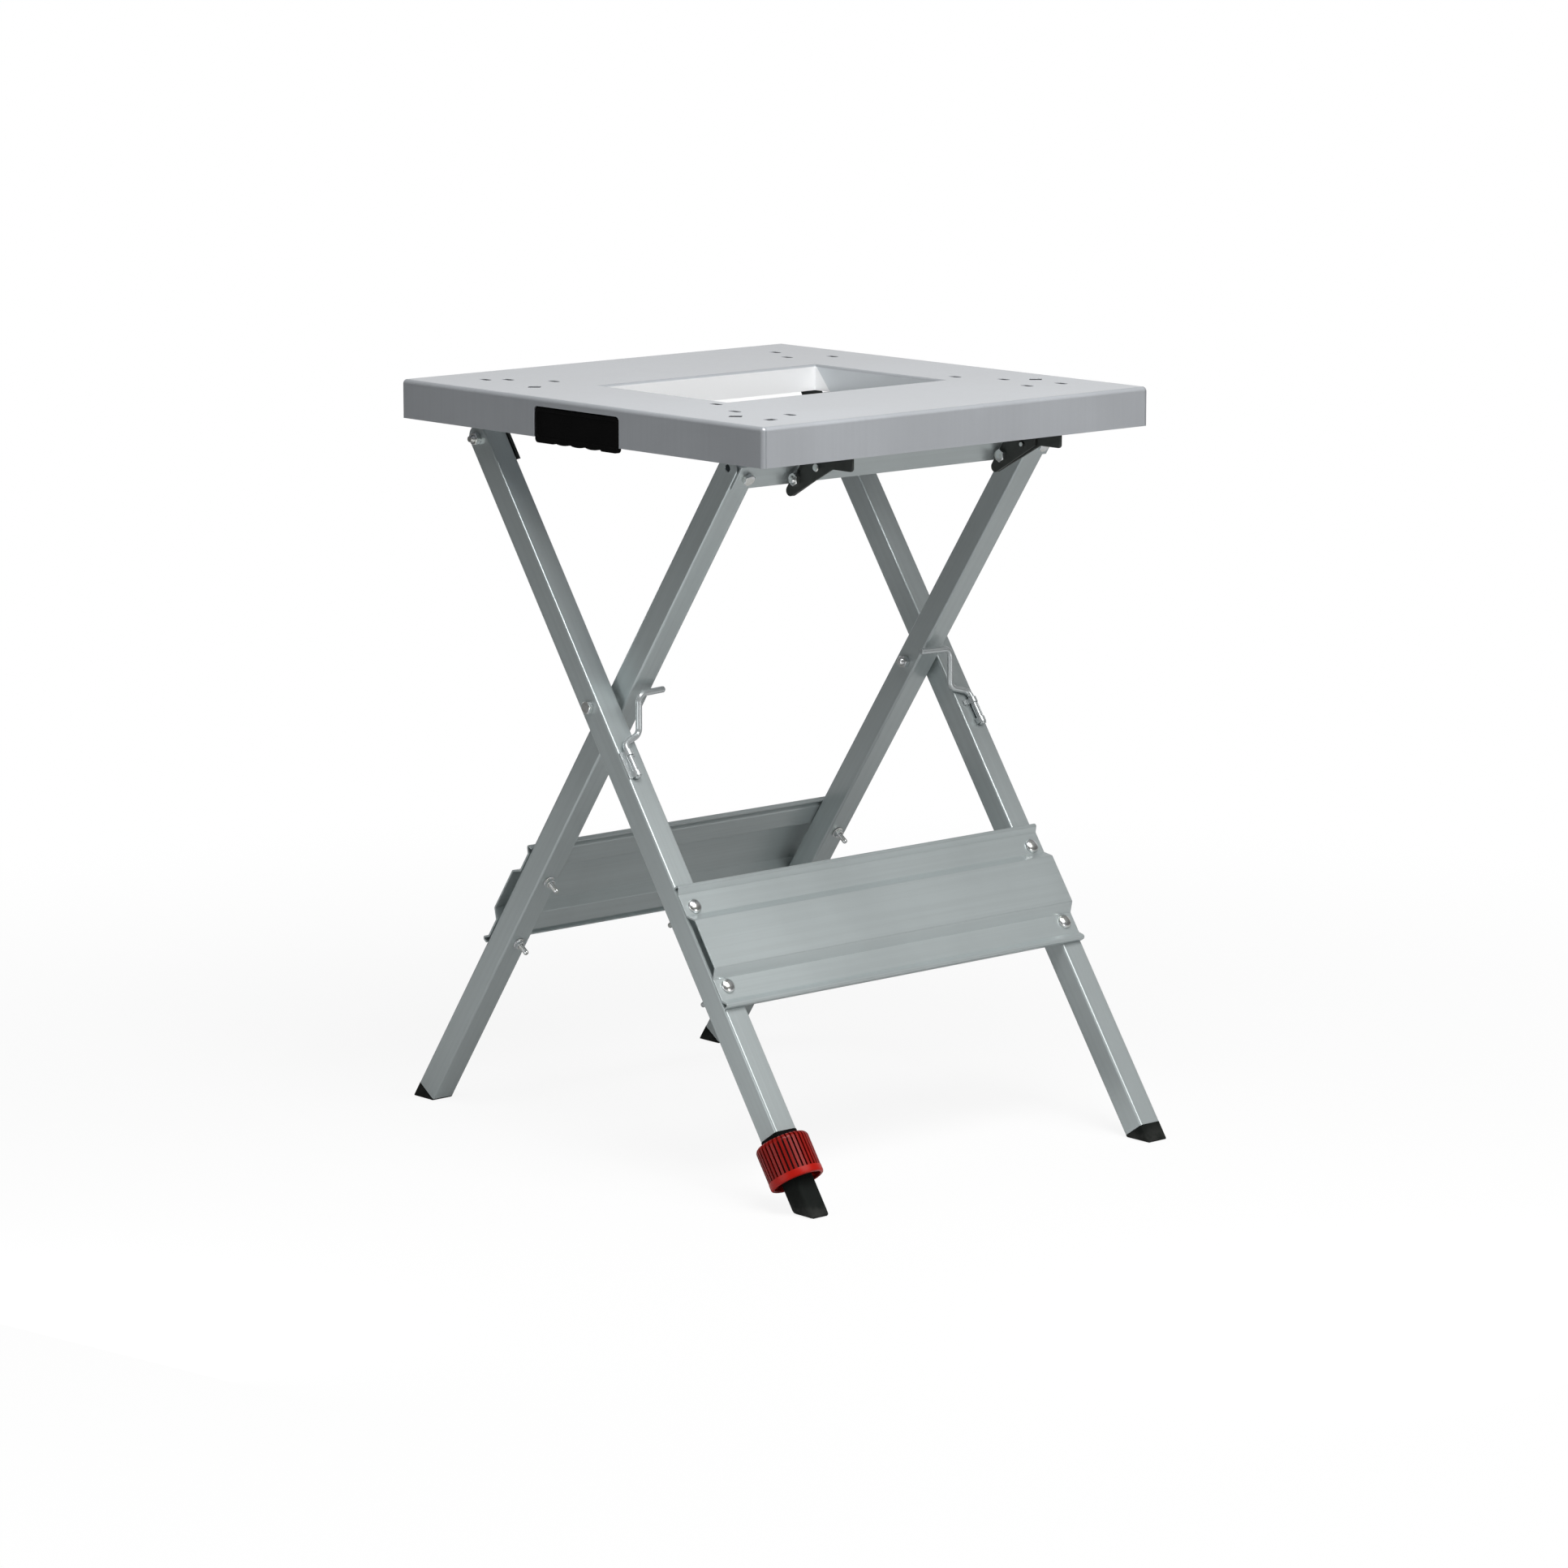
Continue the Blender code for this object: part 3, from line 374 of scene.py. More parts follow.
# Shader boards
class Reading:
    """A value on a shader board; arithmetic on it adds Math nodes."""

    def __init__(self, board, socket):
        self.board = board
        self.socket = socket

    def math(self, operation, first, second):
        return self.board.add("ShaderNodeMath", {"operation": operation}, {0: first, 1: second})

    def __add__(self, other):
        return self.math("ADD", self, other)

    def __radd__(self, other):
        return self.math("ADD", other, self)

    def __sub__(self, other):
        return self.math("SUBTRACT", self, other)

    def __rsub__(self, other):
        return self.math("SUBTRACT", other, self)

    def __mul__(self, other):
        return self.math("MULTIPLY", self, other)

    def __rmul__(self, other):
        return self.math("MULTIPLY", other, self)


class Board:
    """The nodes of a material or a room; every node but arithmetic comes from add."""

    def __init__(self, tree):
        self.nodes = tree.nodes
        self.links = tree.links

    def add(self, kind, settings, sockets, output=0):
        node = self.nodes.new(kind)
        for key, value in settings.items():
            setattr(node, key, value)
        for key, value in sockets.items():
            self.feed(node.inputs[key], value)
        return Reading(self, node.outputs[output])

    def feed(self, socket, value):
        if isinstance(value, Reading):
            self.links.new(value.socket, socket)
        else:
            socket.default_value = value

    def ramp(self, value, low, high):
        return self.add("ShaderNodeMapRange", {"interpolation_type": "SMOOTHSTEP", "clamp": True},
                        {"Value": value, "From Min": low, "From Max": high, "To Min": 0.0, "To Max": 1.0})

    def ray(self, kind):
        """One for rays of a kind, nought for the rest."""
        return self.add("ShaderNodeLightPath", {}, {}, kind)


class Finish(Board):
    """A procedural material on Object coordinates, and the record's slot that it belongs to."""

    def __init__(self, name, slot):
        self.slot = slot
        self.material = bpy.data.materials.new(name)
        self.material.use_nodes = True
        super().__init__(self.material.node_tree)
        self.shader = self.nodes["Principled BSDF"]
        self.place = self.add("ShaderNodeTexCoord", {}, {}, "Object")

    def wear(self, sockets):
        """Set the shader's own sockets."""
        for key, value in sockets.items():
            self.feed(self.shader.inputs[key], value)

    def scaled(self, by, at=None):
        return self.add("ShaderNodeMapping", {"vector_type": "POINT"}, {"Vector": at or self.place, "Scale": by})

    def noise(self, scale, detail=4.0, rough=0.55, at=None):
        return self.add("ShaderNodeTexNoise", {"noise_dimensions": "3D"},
                        {"Vector": at or self.place, "Scale": scale, "Detail": detail, "Roughness": rough})

    def cells(self, scale, at=None):
        return self.add("ShaderNodeTexVoronoi", {"feature": "F1"},
                        {"Vector": at or self.place, "Scale": scale}, "Distance")

    def blend(self, share, first, second):
        first = first if isinstance(first, Reading) else (*first, 1.0)
        second = second if isinstance(second, Reading) else (*second, 1.0)
        return self.add("ShaderNodeMix", {"data_type": "RGBA", "blend_type": "MIX"},
                        {0: share, 6: first, 7: second}, 2)

    def bump(self, height, strength, distance):
        return self.add("ShaderNodeBump", {}, {"Height": height, "Strength": strength, "Distance": distance})


def rim_highlight_and_hole_shade(paint, base):
    """Painted highlight on the cut-out's rims, palest at their front and rear ends, and painted shade, near black, on
    the walls of the punched holes.
    """
    x, y, z = (paint.add("ShaderNodeSeparateXYZ", {}, {0: paint.place}, axis) for axis in "XYZ")
    wide, deep = (paint.add("ShaderNodeMath", {"operation": "ABSOLUTE"}, {0: part}) for part in (x, y))

    def within(reach_x, reach_y, inset, fade):
        return (paint.ramp(wide, reach_x + inset + fade, reach_x + inset)
                * paint.ramp(deep, reach_y + inset + fade, reach_y + inset))

    def below(start, end):
        return paint.ramp(z, TABLE_TOP - start, TABLE_TOP - end)

    rim = within(CUT_X, CUT_Y, 0.002, 0.0015) * below(0.002, 0.0035)
    corner = paint.ramp(deep + 0.85 * (TABLE_TOP - z), CUT_Y - 0.0004, CUT_Y + 0.0004)
    # Painted highlight: the rims are made paler, and palest at their ends
    base = paint.blend(rim, base, RIM_HIGHLIGHT)
    base = paint.blend(rim * corner, base, RIM_END_HIGHLIGHT)
    beyond = paint.add("ShaderNodeMath", {"operation": "MAXIMUM"}, {
        0: paint.ramp(wide, CUT_X + 0.006, CUT_X + 0.008), 1: paint.ramp(deep, CUT_Y + 0.006, CUT_Y + 0.008)})
    # Painted shade on the walls of the punched holes, within the sheet's thickness
    punched_wall_shade = within(TABLE_X, TABLE_Y, -0.008, 0.002) * beyond * below(0.0004, 0.0007) * below(0.0018, 0.0016)
    return paint.blend(0.85 * punched_wall_shade, base, PUNCHED_WALL_SHADE)


def silver_paint(name, slot, colour, lean, drawn_out, streaky, rough, rims=False):
    """Satin silver paint on rolled steel: streaks along the metal, flake, orange peel and rubbed hairlines."""
    paint = Finish(name, slot)
    along = paint.add("ShaderNodeMapping", {"vector_type": "POINT"},
                      {"Vector": paint.place, "Rotation": (lean, 0.0, 0.0)})

    def shade(by):
        return [by * part for part in colour]

    streak = paint.noise(1.0, 5.0, 0.6, paint.scaled(drawn_out, along))
    cloud = paint.noise(7.0, 3.0, 0.5, paint.scaled((1.0, 1.0, 0.45), along))
    flake = paint.cells(2400.0)
    peel = paint.noise(520.0, 2.0)
    hair = paint.noise(46.0, 7.0, 0.72, paint.scaled((1.0, 12.0, 5.0), along))
    rubbed = paint.ramp(hair, 0.64, 0.76) * paint.ramp(cloud, 0.46, 0.62)
    base = paint.blend(paint.ramp(cloud, 0.30, 0.72), shade(0.93), shade(1.04))
    base = paint.blend(streaky * paint.ramp(streak, 0.36, 0.66), base, shade(0.80))
    base = paint.blend(0.12 * paint.ramp(flake, 0.25, 0.6), base, shade(0.72))
    base = paint.blend(0.15 * rubbed, base, shade(1.15))
    if rims:
        # The table's paint gets a painted highlight on the cut-out's rims and painted shade in its holes
        base = rim_highlight_and_hole_shade(paint, base)
    paint.wear({"Base Color": base, "Metallic": (0.24 if rims else 0.46) + 0.08 * cloud,
                "Roughness": rough + 0.22 * streaky * (streak - 0.5) + 0.08 * (cloud - 0.5) + 0.05 * rubbed,
                "Normal": paint.bump(0.7 * peel + 0.3 * flake + streaky * streak, 0.05, 0.0006),
                "Coat Roughness": 0.15, "Coat Weight": 0.08 if rims else 0.12})
    return paint


def zinc_plate():
    """Bright zinc on fasteners, a little yellow and blue where the passivation varies."""
    zinc = Finish("bright_zinc", "zinc")
    tint = zinc.noise(160.0, 3.0)
    grain = zinc.noise(1500.0, 3.0)
    base = zinc.blend(zinc.ramp(tint, 0.35, 0.68), (0.66, 0.67, 0.64), (0.76, 0.78, 0.80))
    base = zinc.blend(0.22 * zinc.ramp(zinc.noise(300.0, 4.0), 0.62, 0.76), base, (0.50, 0.50, 0.47))
    zinc.wear({"Base Color": base, "Metallic": 1.0, "Roughness": 0.16 + 0.14 * tint,
               "Normal": zinc.bump(grain, 0.04, 0.0002)})
    return zinc


def dark_plate():
    """Dark grey coated steel of the brackets, cloudy and with paler specks."""
    steel = Finish("dark_coated_steel", "dark_steel")
    cloud = steel.noise(40.0, 4.0)
    grain = steel.noise(900.0, 3.0)
    speck = steel.ramp(steel.cells(700.0), 0.10, 0.02)
    base = steel.blend(cloud, (0.036, 0.041, 0.038), (0.056, 0.062, 0.058))
    base = steel.blend(0.35 * speck, base, (0.12, 0.12, 0.12))
    steel.wear({"Base Color": base, "Metallic": 0.2, "Specular IOR Level": 0.35, "Roughness": 0.40 + 0.18 * cloud,
                "Normal": steel.bump(grain, 0.12, 0.0004)})
    return steel


def moulded_plastic():
    """Black moulded plastic with a fine grain and dull rubbed patches."""
    plastic = Finish("black_grained_plastic", "black_plastic")
    grain = plastic.cells(1100.0)
    cloud = plastic.noise(35.0, 4.0)
    base = plastic.blend(cloud, (0.002, 0.002, 0.002), (0.005, 0.005, 0.005))
    plastic.wear({"Base Color": base, "Specular IOR Level": 0.05, "Roughness": 0.46 + 0.16 * cloud,
                  "Normal": plastic.bump(grain, 0.22, 0.0005)})
    return plastic


def moulded_rubber():
    """Black rubber, dusty towards the floor."""
    rubber = Finish("black_rubber_moulding", "black_rubber")
    cloud = rubber.noise(60.0, 5.0)
    grain = rubber.noise(700.0, 4.0)
    height = rubber.add("ShaderNodeSeparateXYZ", {}, {0: rubber.place}, "Z")
    dust = rubber.ramp(height, 0.022, 0.0) * rubber.ramp(cloud, 0.35, 0.7)
    base = rubber.blend(cloud, (0.005, 0.007, 0.006), (0.011, 0.013, 0.012))
    base = rubber.blend(0.3 * dust, base, (0.10, 0.10, 0.095))
    rubber.wear({"Base Color": base, "Specular IOR Level": 0.10, "Roughness": 0.62 + 0.2 * cloud,
                 "Normal": rubber.bump(grain, 0.2, 0.0006)})
    return rubber


def knob_plastic():
    """Deep red moulded plastic: painted shade in the grooves, lighter along the lower rim, glossier patches."""
    plastic = Finish("red_knob_plastic", "red_plastic")
    cloud = plastic.noise(70.0, 4.0)
    grain = plastic.noise(1400.0, 3.0)
    about = plastic.add("ShaderNodeMapping", {"vector_type": "POINT"}, {
        "Vector": plastic.place, "Rotation": (TILT, 0.0, 0.0),
        "Location": (OUTER_X, CROSS_Z * sin(TILT), -CROSS_Z * cos(TILT))})
    height = plastic.add("ShaderNodeSeparateXYZ", {}, {0: about}, "Z")
    flat = plastic.add("ShaderNodeVectorMath", {"operation": "MULTIPLY"}, {0: about, 1: (1.0, 1.0, 0.0)})
    radius = plastic.add("ShaderNodeVectorMath", {"operation": "LENGTH"}, {0: flat}, "Value")
    groove_shade = plastic.ramp(radius, KNOB - 0.0008, KNOB - 0.0022)
    groove_shade = groove_shade * plastic.ramp(height, KNOB_TOP - 0.004, KNOB_TOP - 0.007)
    rim = plastic.ramp(height, KNOB_LOW + 0.0090, KNOB_LOW + 0.0078)
    base = plastic.blend(cloud, (0.20, 0.004, 0.003), (0.31, 0.009, 0.004))
    # Painted shade: the grooves are made near black
    base = plastic.blend(0.85 * groove_shade, base, (0.012, 0.001, 0.001))
    base = plastic.blend(0.7 * rim, base, (0.52, 0.010, 0.004))
    plastic.wear({"Base Color": base, "Specular IOR Level": 0.22, "Roughness": 0.26 + 0.14 * cloud,
                  "Normal": plastic.bump(grain, 0.10, 0.0003)})
    return plastic


# The finishes of this stand
UPRIGHT_GRAIN, LEVEL_GRAIN = (190.0, 190.0, 2.2), (2.2, 190.0, 190.0)
# The table's paint also carries a painted highlight on the cut-out's rims and painted shade in its holes
TOP_PAINT = silver_paint("table_silver_paint", "table_paint", TOP_SILVER, 0.0, UPRIGHT_GRAIN, 0.12, 0.30, True)
OUTER_PAINT = silver_paint("outer_leg_silver_paint", "grey_paint", LEG_SILVER, TILT, UPRIGHT_GRAIN, 0.30, 0.32)
INNER_PAINT = silver_paint("inner_leg_silver_paint", "grey_paint", LEG_SILVER, -TILT, UPRIGHT_GRAIN, 0.30, 0.32)
PANEL_PAINT = silver_paint("panel_silver_paint", "grey_paint", LEG_SILVER, 0.0, LEVEL_GRAIN, 0.25, 0.32)
WIRE_PAINT = silver_paint("wire_silver_paint", "grey_paint", WIRE_SILVER, TILT, UPRIGHT_GRAIN, 0.12, 0.24)
ZINC = zinc_plate()
DARK = dark_plate()
GRIP = moulded_plastic()
RUBBER = moulded_rubber()
RED = knob_plastic()


# The table
BOLT_HOLES = ((-0.221, 0.239, "slot"), (-0.202, 0.222, "slot"), (-0.174, 0.175, "slot"), (-0.226, 0.146, "diamond"),
              (0.214, 0.236, "slot"), (0.189, 0.187, "slot"), (0.234, 0.158, "slot"),
              (0.194, -0.093, "slot"), (0.217, -0.148, "slot"), (0.244, -0.172, "diamond"), (0.192, -0.212, "slot"),
              (0.237, -0.220, "slot"), (-0.184, -0.114, "slot"), (-0.213, -0.178, "slot"),
              (-0.242, -0.212, "diamond"), (-0.234, -0.259, "square"), (-0.189, -0.240, "slot"))
HOLE_RADIUS = 0.0042
HOLE_HALF = 0.0045
SQUARE_HALF, DIAMOND_HALF = 0.0062, 0.0070
PUNCH_ROUND = 0.0012
RIM_TAPER = 0.0025
GRIP_HALF, GRIP_TOP = 0.0722, 0.8402


def hole_tool(x, y, kind):
    """The punch for one of the table's saw bolt holes."""
    low, high = TABLE_TOP - 0.01, TABLE_TOP + 0.01
    if kind == "slot":
        first = rod((x, y - HOLE_HALF, low), (x, y - HOLE_HALF, high), HOLE_RADIUS, 24)
        with Edit(first) as edit:
            edit.pick("VERT", lambda v: v.co.y > y - HOLE_HALF + 0.0001)
            bpy.ops.transform.translate(value=(0, 2 * HOLE_HALF, 0))
        return first
    reach = SQUARE_HALF if kind == "square" else DIAMOND_HALF
    tool = block((x - reach, y - reach, low), (x + reach, y + reach, high))
    with Edit(tool) as edit:
        edit.pick("EDGE", upright)
        edit.bevel(PUNCH_ROUND, 3)
        if kind == "diamond":
            edit.pick_all()
            bpy.ops.transform.rotate(value=pi / 4, orient_axis="Z", center_override=(x, y, TABLE_TOP))
    return tool


def on_border(edge, axis, goal):
    """An open edge of the table's flat sheet, at one level along an axis."""
    return edge.is_boundary and ends_at(edge, axis, goal) and ends_at(edge, 2, TABLE_TOP)


def make_table():
    """The pressed pan: top, skirts folded at the edge, the cut-out with its turned-down rims, punched holes."""
    flat_x, flat_y = TABLE_X - TABLE_BEND, TABLE_Y - TABLE_BEND
    rim_x, rim_y = CUT_X + RIM_BEND, CUT_Y + RIM_BEND
    bend_z, rim_z = TABLE_TOP - TABLE_BEND, TABLE_TOP - RIM_BEND
    pick_nothing()
    bpy.ops.mesh.primitive_plane_add(size=2, location=(0, 0, TABLE_TOP))
    pan = bpy.context.object
    pan.scale = (flat_x, flat_y, 1)
    bake_place()
    with Edit(pan) as edit:
        for axis, reach in ((0, rim_x), (1, rim_y)):
            for side in (-1, 1):
                edit.pick_all()
                bpy.ops.mesh.bisect(plane_co=on_axis(axis, side * reach, TABLE_TOP), plane_no=on_axis(axis, 1))
        edit.pick("FACE", lambda f: f.calc_center_median().to_2d().length < 0.01)
        bpy.ops.mesh.delete(type="FACE")
        for axis, reach, other in ((0, rim_x, rim_y), (1, rim_y, rim_x)):
            for side in (-1, 1):
                edit.pick("EDGE", lambda e: on_border(e, axis, side * reach) and abs(middle(e)[1 - axis]) < 0.01)
                turn = on_axis(1 - axis, side * (-1 if axis == 0 else 1))
                edit.swing(pi / 2, on_axis(axis, side * reach, rim_z), turn, 4)
                edit.push((0, 0, RIM_BEND - CUT_RIM))
                shrink = [1, 1, 1]
                shrink[1 - axis] = 1 - RIM_TAPER / other
                bpy.ops.transform.resize(value=shrink, center_override=(0, 0, 0))
        for axis, reach in ((0, flat_x), (1, flat_y)):
            for side in (-1, 1):
                edit.pick("EDGE", lambda e: on_border(e, axis, side * reach))
                turn = on_axis(1 - axis, side * (1 if axis == 0 else -1))
                edit.swing(pi / 2, on_axis(axis, side * reach, bend_z), turn, 5)
                edit.push((0, 0, TABLE_LOW - bend_z))
        for side in (-1, 1):
            for end in (-1, 1):
                edit.pick("EDGE", lambda e: e.is_boundary and ends_at(e, 1, end * flat_y)
                          and side * middle(e).x > flat_x + 0.0002)
                edit.swing(radians(82), (side * flat_x, end * flat_y, 0), (0, 0, side * end), 5)
        edit.tidy()
        edit.face(lambda f: f.calc_area() > 0.01, (0, 0, 1))
    wall(pan, SHEET, -1)
    tools = [hole_tool(*hole) for hole in BOLT_HOLES]
    window = plate(rounded(-GRIP_HALF, GRIP_HALF, 0.79, GRIP_TOP, 0.005), -TABLE_X - 0.004, -TABLE_X + 0.004, 0)
    cut(pan, joined(tools))
    cut(pan, window)
    with Edit(pan) as edit:
        edit.pick("EDGE", lambda e: len(e.link_faces) == 2 and e.calc_face_angle() > radians(50)
                  and not (abs(middle(e).x) > flat_x - 0.004 and abs(middle(e).y) > flat_y - 0.004))
        edit.bevel(0.00035, 2)
    settle(pan, "table_pan", AS_MADE, "table", TOP_PAINT, ["table_top"])


def make_handle():
    """The grip in the left skirt, with rounded corners, a shallow dish and rounded finger bumps below."""
    face, back = -TABLE_X, -TABLE_X + SHEET + 0.0033
    low, notch = 0.8000, 0.8030
    nicks = (0.0365, 0.0113, -0.0139, -0.0391)
    outline = arc((0.0650, 0.8330), 0.0055, 0, pi / 2, 5) + arc((-0.0650, 0.8330), 0.0055, pi / 2, pi, 5)
    outline += arc((-0.0660, low + 0.0045), 0.0045, pi, 1.5 * pi, 5) + [(nicks[3] - 0.0035, low)]
    for start, end in zip(nicks[::-1], nicks[-2::-1]):
        half = (end - start) / 2
        for step in range(9):
            turn = pi * step / 8
            outline.append((start + half - half * cos(turn) * 0.94, notch - (notch - low) * sin(turn) ** 0.7))
    outline += [(nicks[0] + 0.0035, low)] + arc((0.0660, low + 0.0045), 0.0045, 1.5 * pi, 2 * pi, 5)
    grip = plate(outline, face, back, 0)
    cut(grip, plate(rounded(-0.0672, 0.0672, 0.8062, 0.8352, 0.004), face - 0.001, face + 0.0008, 0))
    broken_edges(grip, 0.0006, 3)
    lap_outline = rounded(-0.0768, 0.0768, TABLE_LOW + 0.0004, 0.8448, 0.005)
    lap = plate(lap_outline, face + SHEET + SKIN + 0.0001, back, 0.0006)
    settle(joined([grip, lap]), "carry_grip", AS_MADE, "table", GRIP, ["carry_handle"])


# Legs and panels
def make_leg(name, x, foot, drop, place, body, finish, bar_hole):
    """A square tube with rounded corners, an open lower end, a half-round top and its bolt holes."""
    tube = block((x - TUBE, -TUBE, -foot), (x + TUBE, TUBE, REACH + TUBE))
    core = TUBE - TUBE_WALL
    hollow = block((x - core, -core, -foot - 0.01), (x + core, core, REACH + 0.03))
    for piece, radius in ((tube, TUBE_ROUND), (hollow, TUBE_ROUND - TUBE_WALL)):
        with Edit(piece) as edit:
            edit.pick("EDGE", upright)
            edit.bevel(radius, 4)
    cut(tube, hollow)
    shoulder = [(-0.03, REACH)] + arc((0, REACH), TUBE, pi, 0, 24) + [(0.03, REACH)]
    shoulder += [(0.03, REACH + 0.03), (-0.03, REACH + 0.03)]
    cut(tube, plate(shoulder, x - 0.03, x + 0.03, 0))
    drills = [rod((x - 0.03, 0, z), (x + 0.03, 0, z), M8_HOLE) for z in (0, REACH)]
    drills += [rod((x, -0.03, z - drop), (x, 0.03, z - drop), M6_HOLE) for z in (BOLT_ROW, -BOLT_ROW)]
    if bar_hole:
        drills.append(rod((x, -0.03, REACH), (x, -0.008, REACH), M8_HOLE))
    for drill in drills:
        cut(tube, drill)
    settle(tube, name + "_tube", place, body, finish, [name])


def make_panel(name, facing, reach, drop, place, body):
    """A pressed panel: a raised middle band, two flat bands on the legs and turned lips."""
    band = TUBE + SKIN + SHEET / 2
    half = [(-0.001, 0.073), (0.008, 0.073), (0, 0.0645), (0, 0.0385), (0.010, 0.029)]
    section = half + [(out, -along) for out, along in half[::-1]]
    path = [(facing * (band + out), along - drop) for out, along in section]
    bends = [0.0020, 0.0026, 0.0017, 0.0017]
    path = eased(path, bends + bends[::-1])
    panel = strip([(-reach, y, z) for y, z in path], (2 * reach, 0, 0), SHEET)
    broken_edges(panel, 0.0003, 2)
    settle(panel, name + "_pressing", place, body, PANEL_PAINT, [name])


make_table()
make_handle()
OUTER, INNER = (FRONT_DROP, ON_OUTER, "outer_frame"), (REAR_DROP, ON_INNER, "inner_frame")
make_leg("outer_leg_left", -OUTER_X, SOCKET_END - COLLAR, *OUTER, OUTER_PAINT, False)
make_leg("outer_leg_right", OUTER_X, FOOT_END, *OUTER, OUTER_PAINT, False)
make_leg("inner_leg_left", -INNER_X, FOOT_END, *INNER, INNER_PAINT, True)
make_leg("inner_leg_right", INNER_X, FOOT_END, *INNER, INNER_PAINT, True)
make_panel("front_panel", -1, OUTER_X + TUBE + PANEL_PAST, *OUTER)
make_panel("rear_panel", 1, INNER_X + TUBE + PANEL_PAST, *INNER)


# Fasteners
def thread(radius, depth, pitch, start, end):
    """The ridged outline of a threaded end."""
    count = round((end - start) / pitch)
    points = []
    for index in range(count):
        low = start + index * pitch
        points += [(radius - depth, low + 0.1 * pitch), (radius, low + 0.45 * pitch), (radius, low + 0.65 * pitch)]
    return points


def dome_bolt():
    """A round-headed bolt along Z, its head bearing at the origin."""
    length, dome, rise = 0.0509, 0.0087, 0.0045
    profile = [(dome * cos(turn), -rise * sin(turn)) for turn in [pi / 2 * index / 9 for index in range(9, -1, -1)]]
    profile[0] = (0, -rise)
    plain = 0.034
    profile += [(M6, 0.0), (M6, plain)] + thread(M6, 0.0004, 0.001, plain, length - 0.001)
    return turned(profile + [(0.0024, length), (0, length)], 40)


def hex_prism(across, low, high):
    """A hexagon with its corners chamfered as on a bolt head."""
    prism = rod((0, 0, low), (0, 0, high), across / 2 / cos(pi / 6), 6)
    edge = across * 0.1
    lens = turned([(0, low - 0.001), (across * 0.62, low - 0.001), (across * 0.62, high - edge),
                   (across * 0.48, high), (0, high)], 48)
    return cut(prism, lens, "INTERSECT")


def hex_bolt(length, plain):
    """An M8 hex bolt along Z, its head bearing at the origin; its end is threaded past a plain length."""
    cap = hex_prism(M8_ACROSS, 0, M8_HEAD)
    cap.rotation_euler = (pi, 0, 0)
    alone(cap)
    bake_place()
    profile = [(0, 0.0), (M8, 0.0), (M8, plain)] if plain else [(0, 0.0), (M8, 0.0)]
    profile += thread(M8, 0.00045, 0.00125, plain, length - 0.001)
    shank = turned(profile + [(M8 * 0.82, length), (0, length)], 40)
    return joined([cap, shank])


def nut(radius, across, height, flange=0.0):
    """A hex nut along Z with its bore open and, on some, a flange under it."""
    base = 0.0012 if flange else 0
    body = hex_prism(across, base, height)
    bore = radius + NUT_FIT
    cut(body, rod((0, 0, -0.01), (0, 0, 0.03), bore, 40))
    if not flange:
        return body
    skirt = turned([(bore, 0), (flange - 0.0003, 0), (flange, 0.0003), (flange, 0.0007), (across * 0.54, 0.0016),
                    (bore, 0.0016), (bore, 0)], 48)
    return joined([body, skirt])


def fasten(model, name, place_at, direction, place, body, node):
    """One copy of a fastener, set on its body in the place of its solid."""
    piece = aimed(another(model), place_at, direction)
    settle(piece, name, place, body, ZINC, [node])


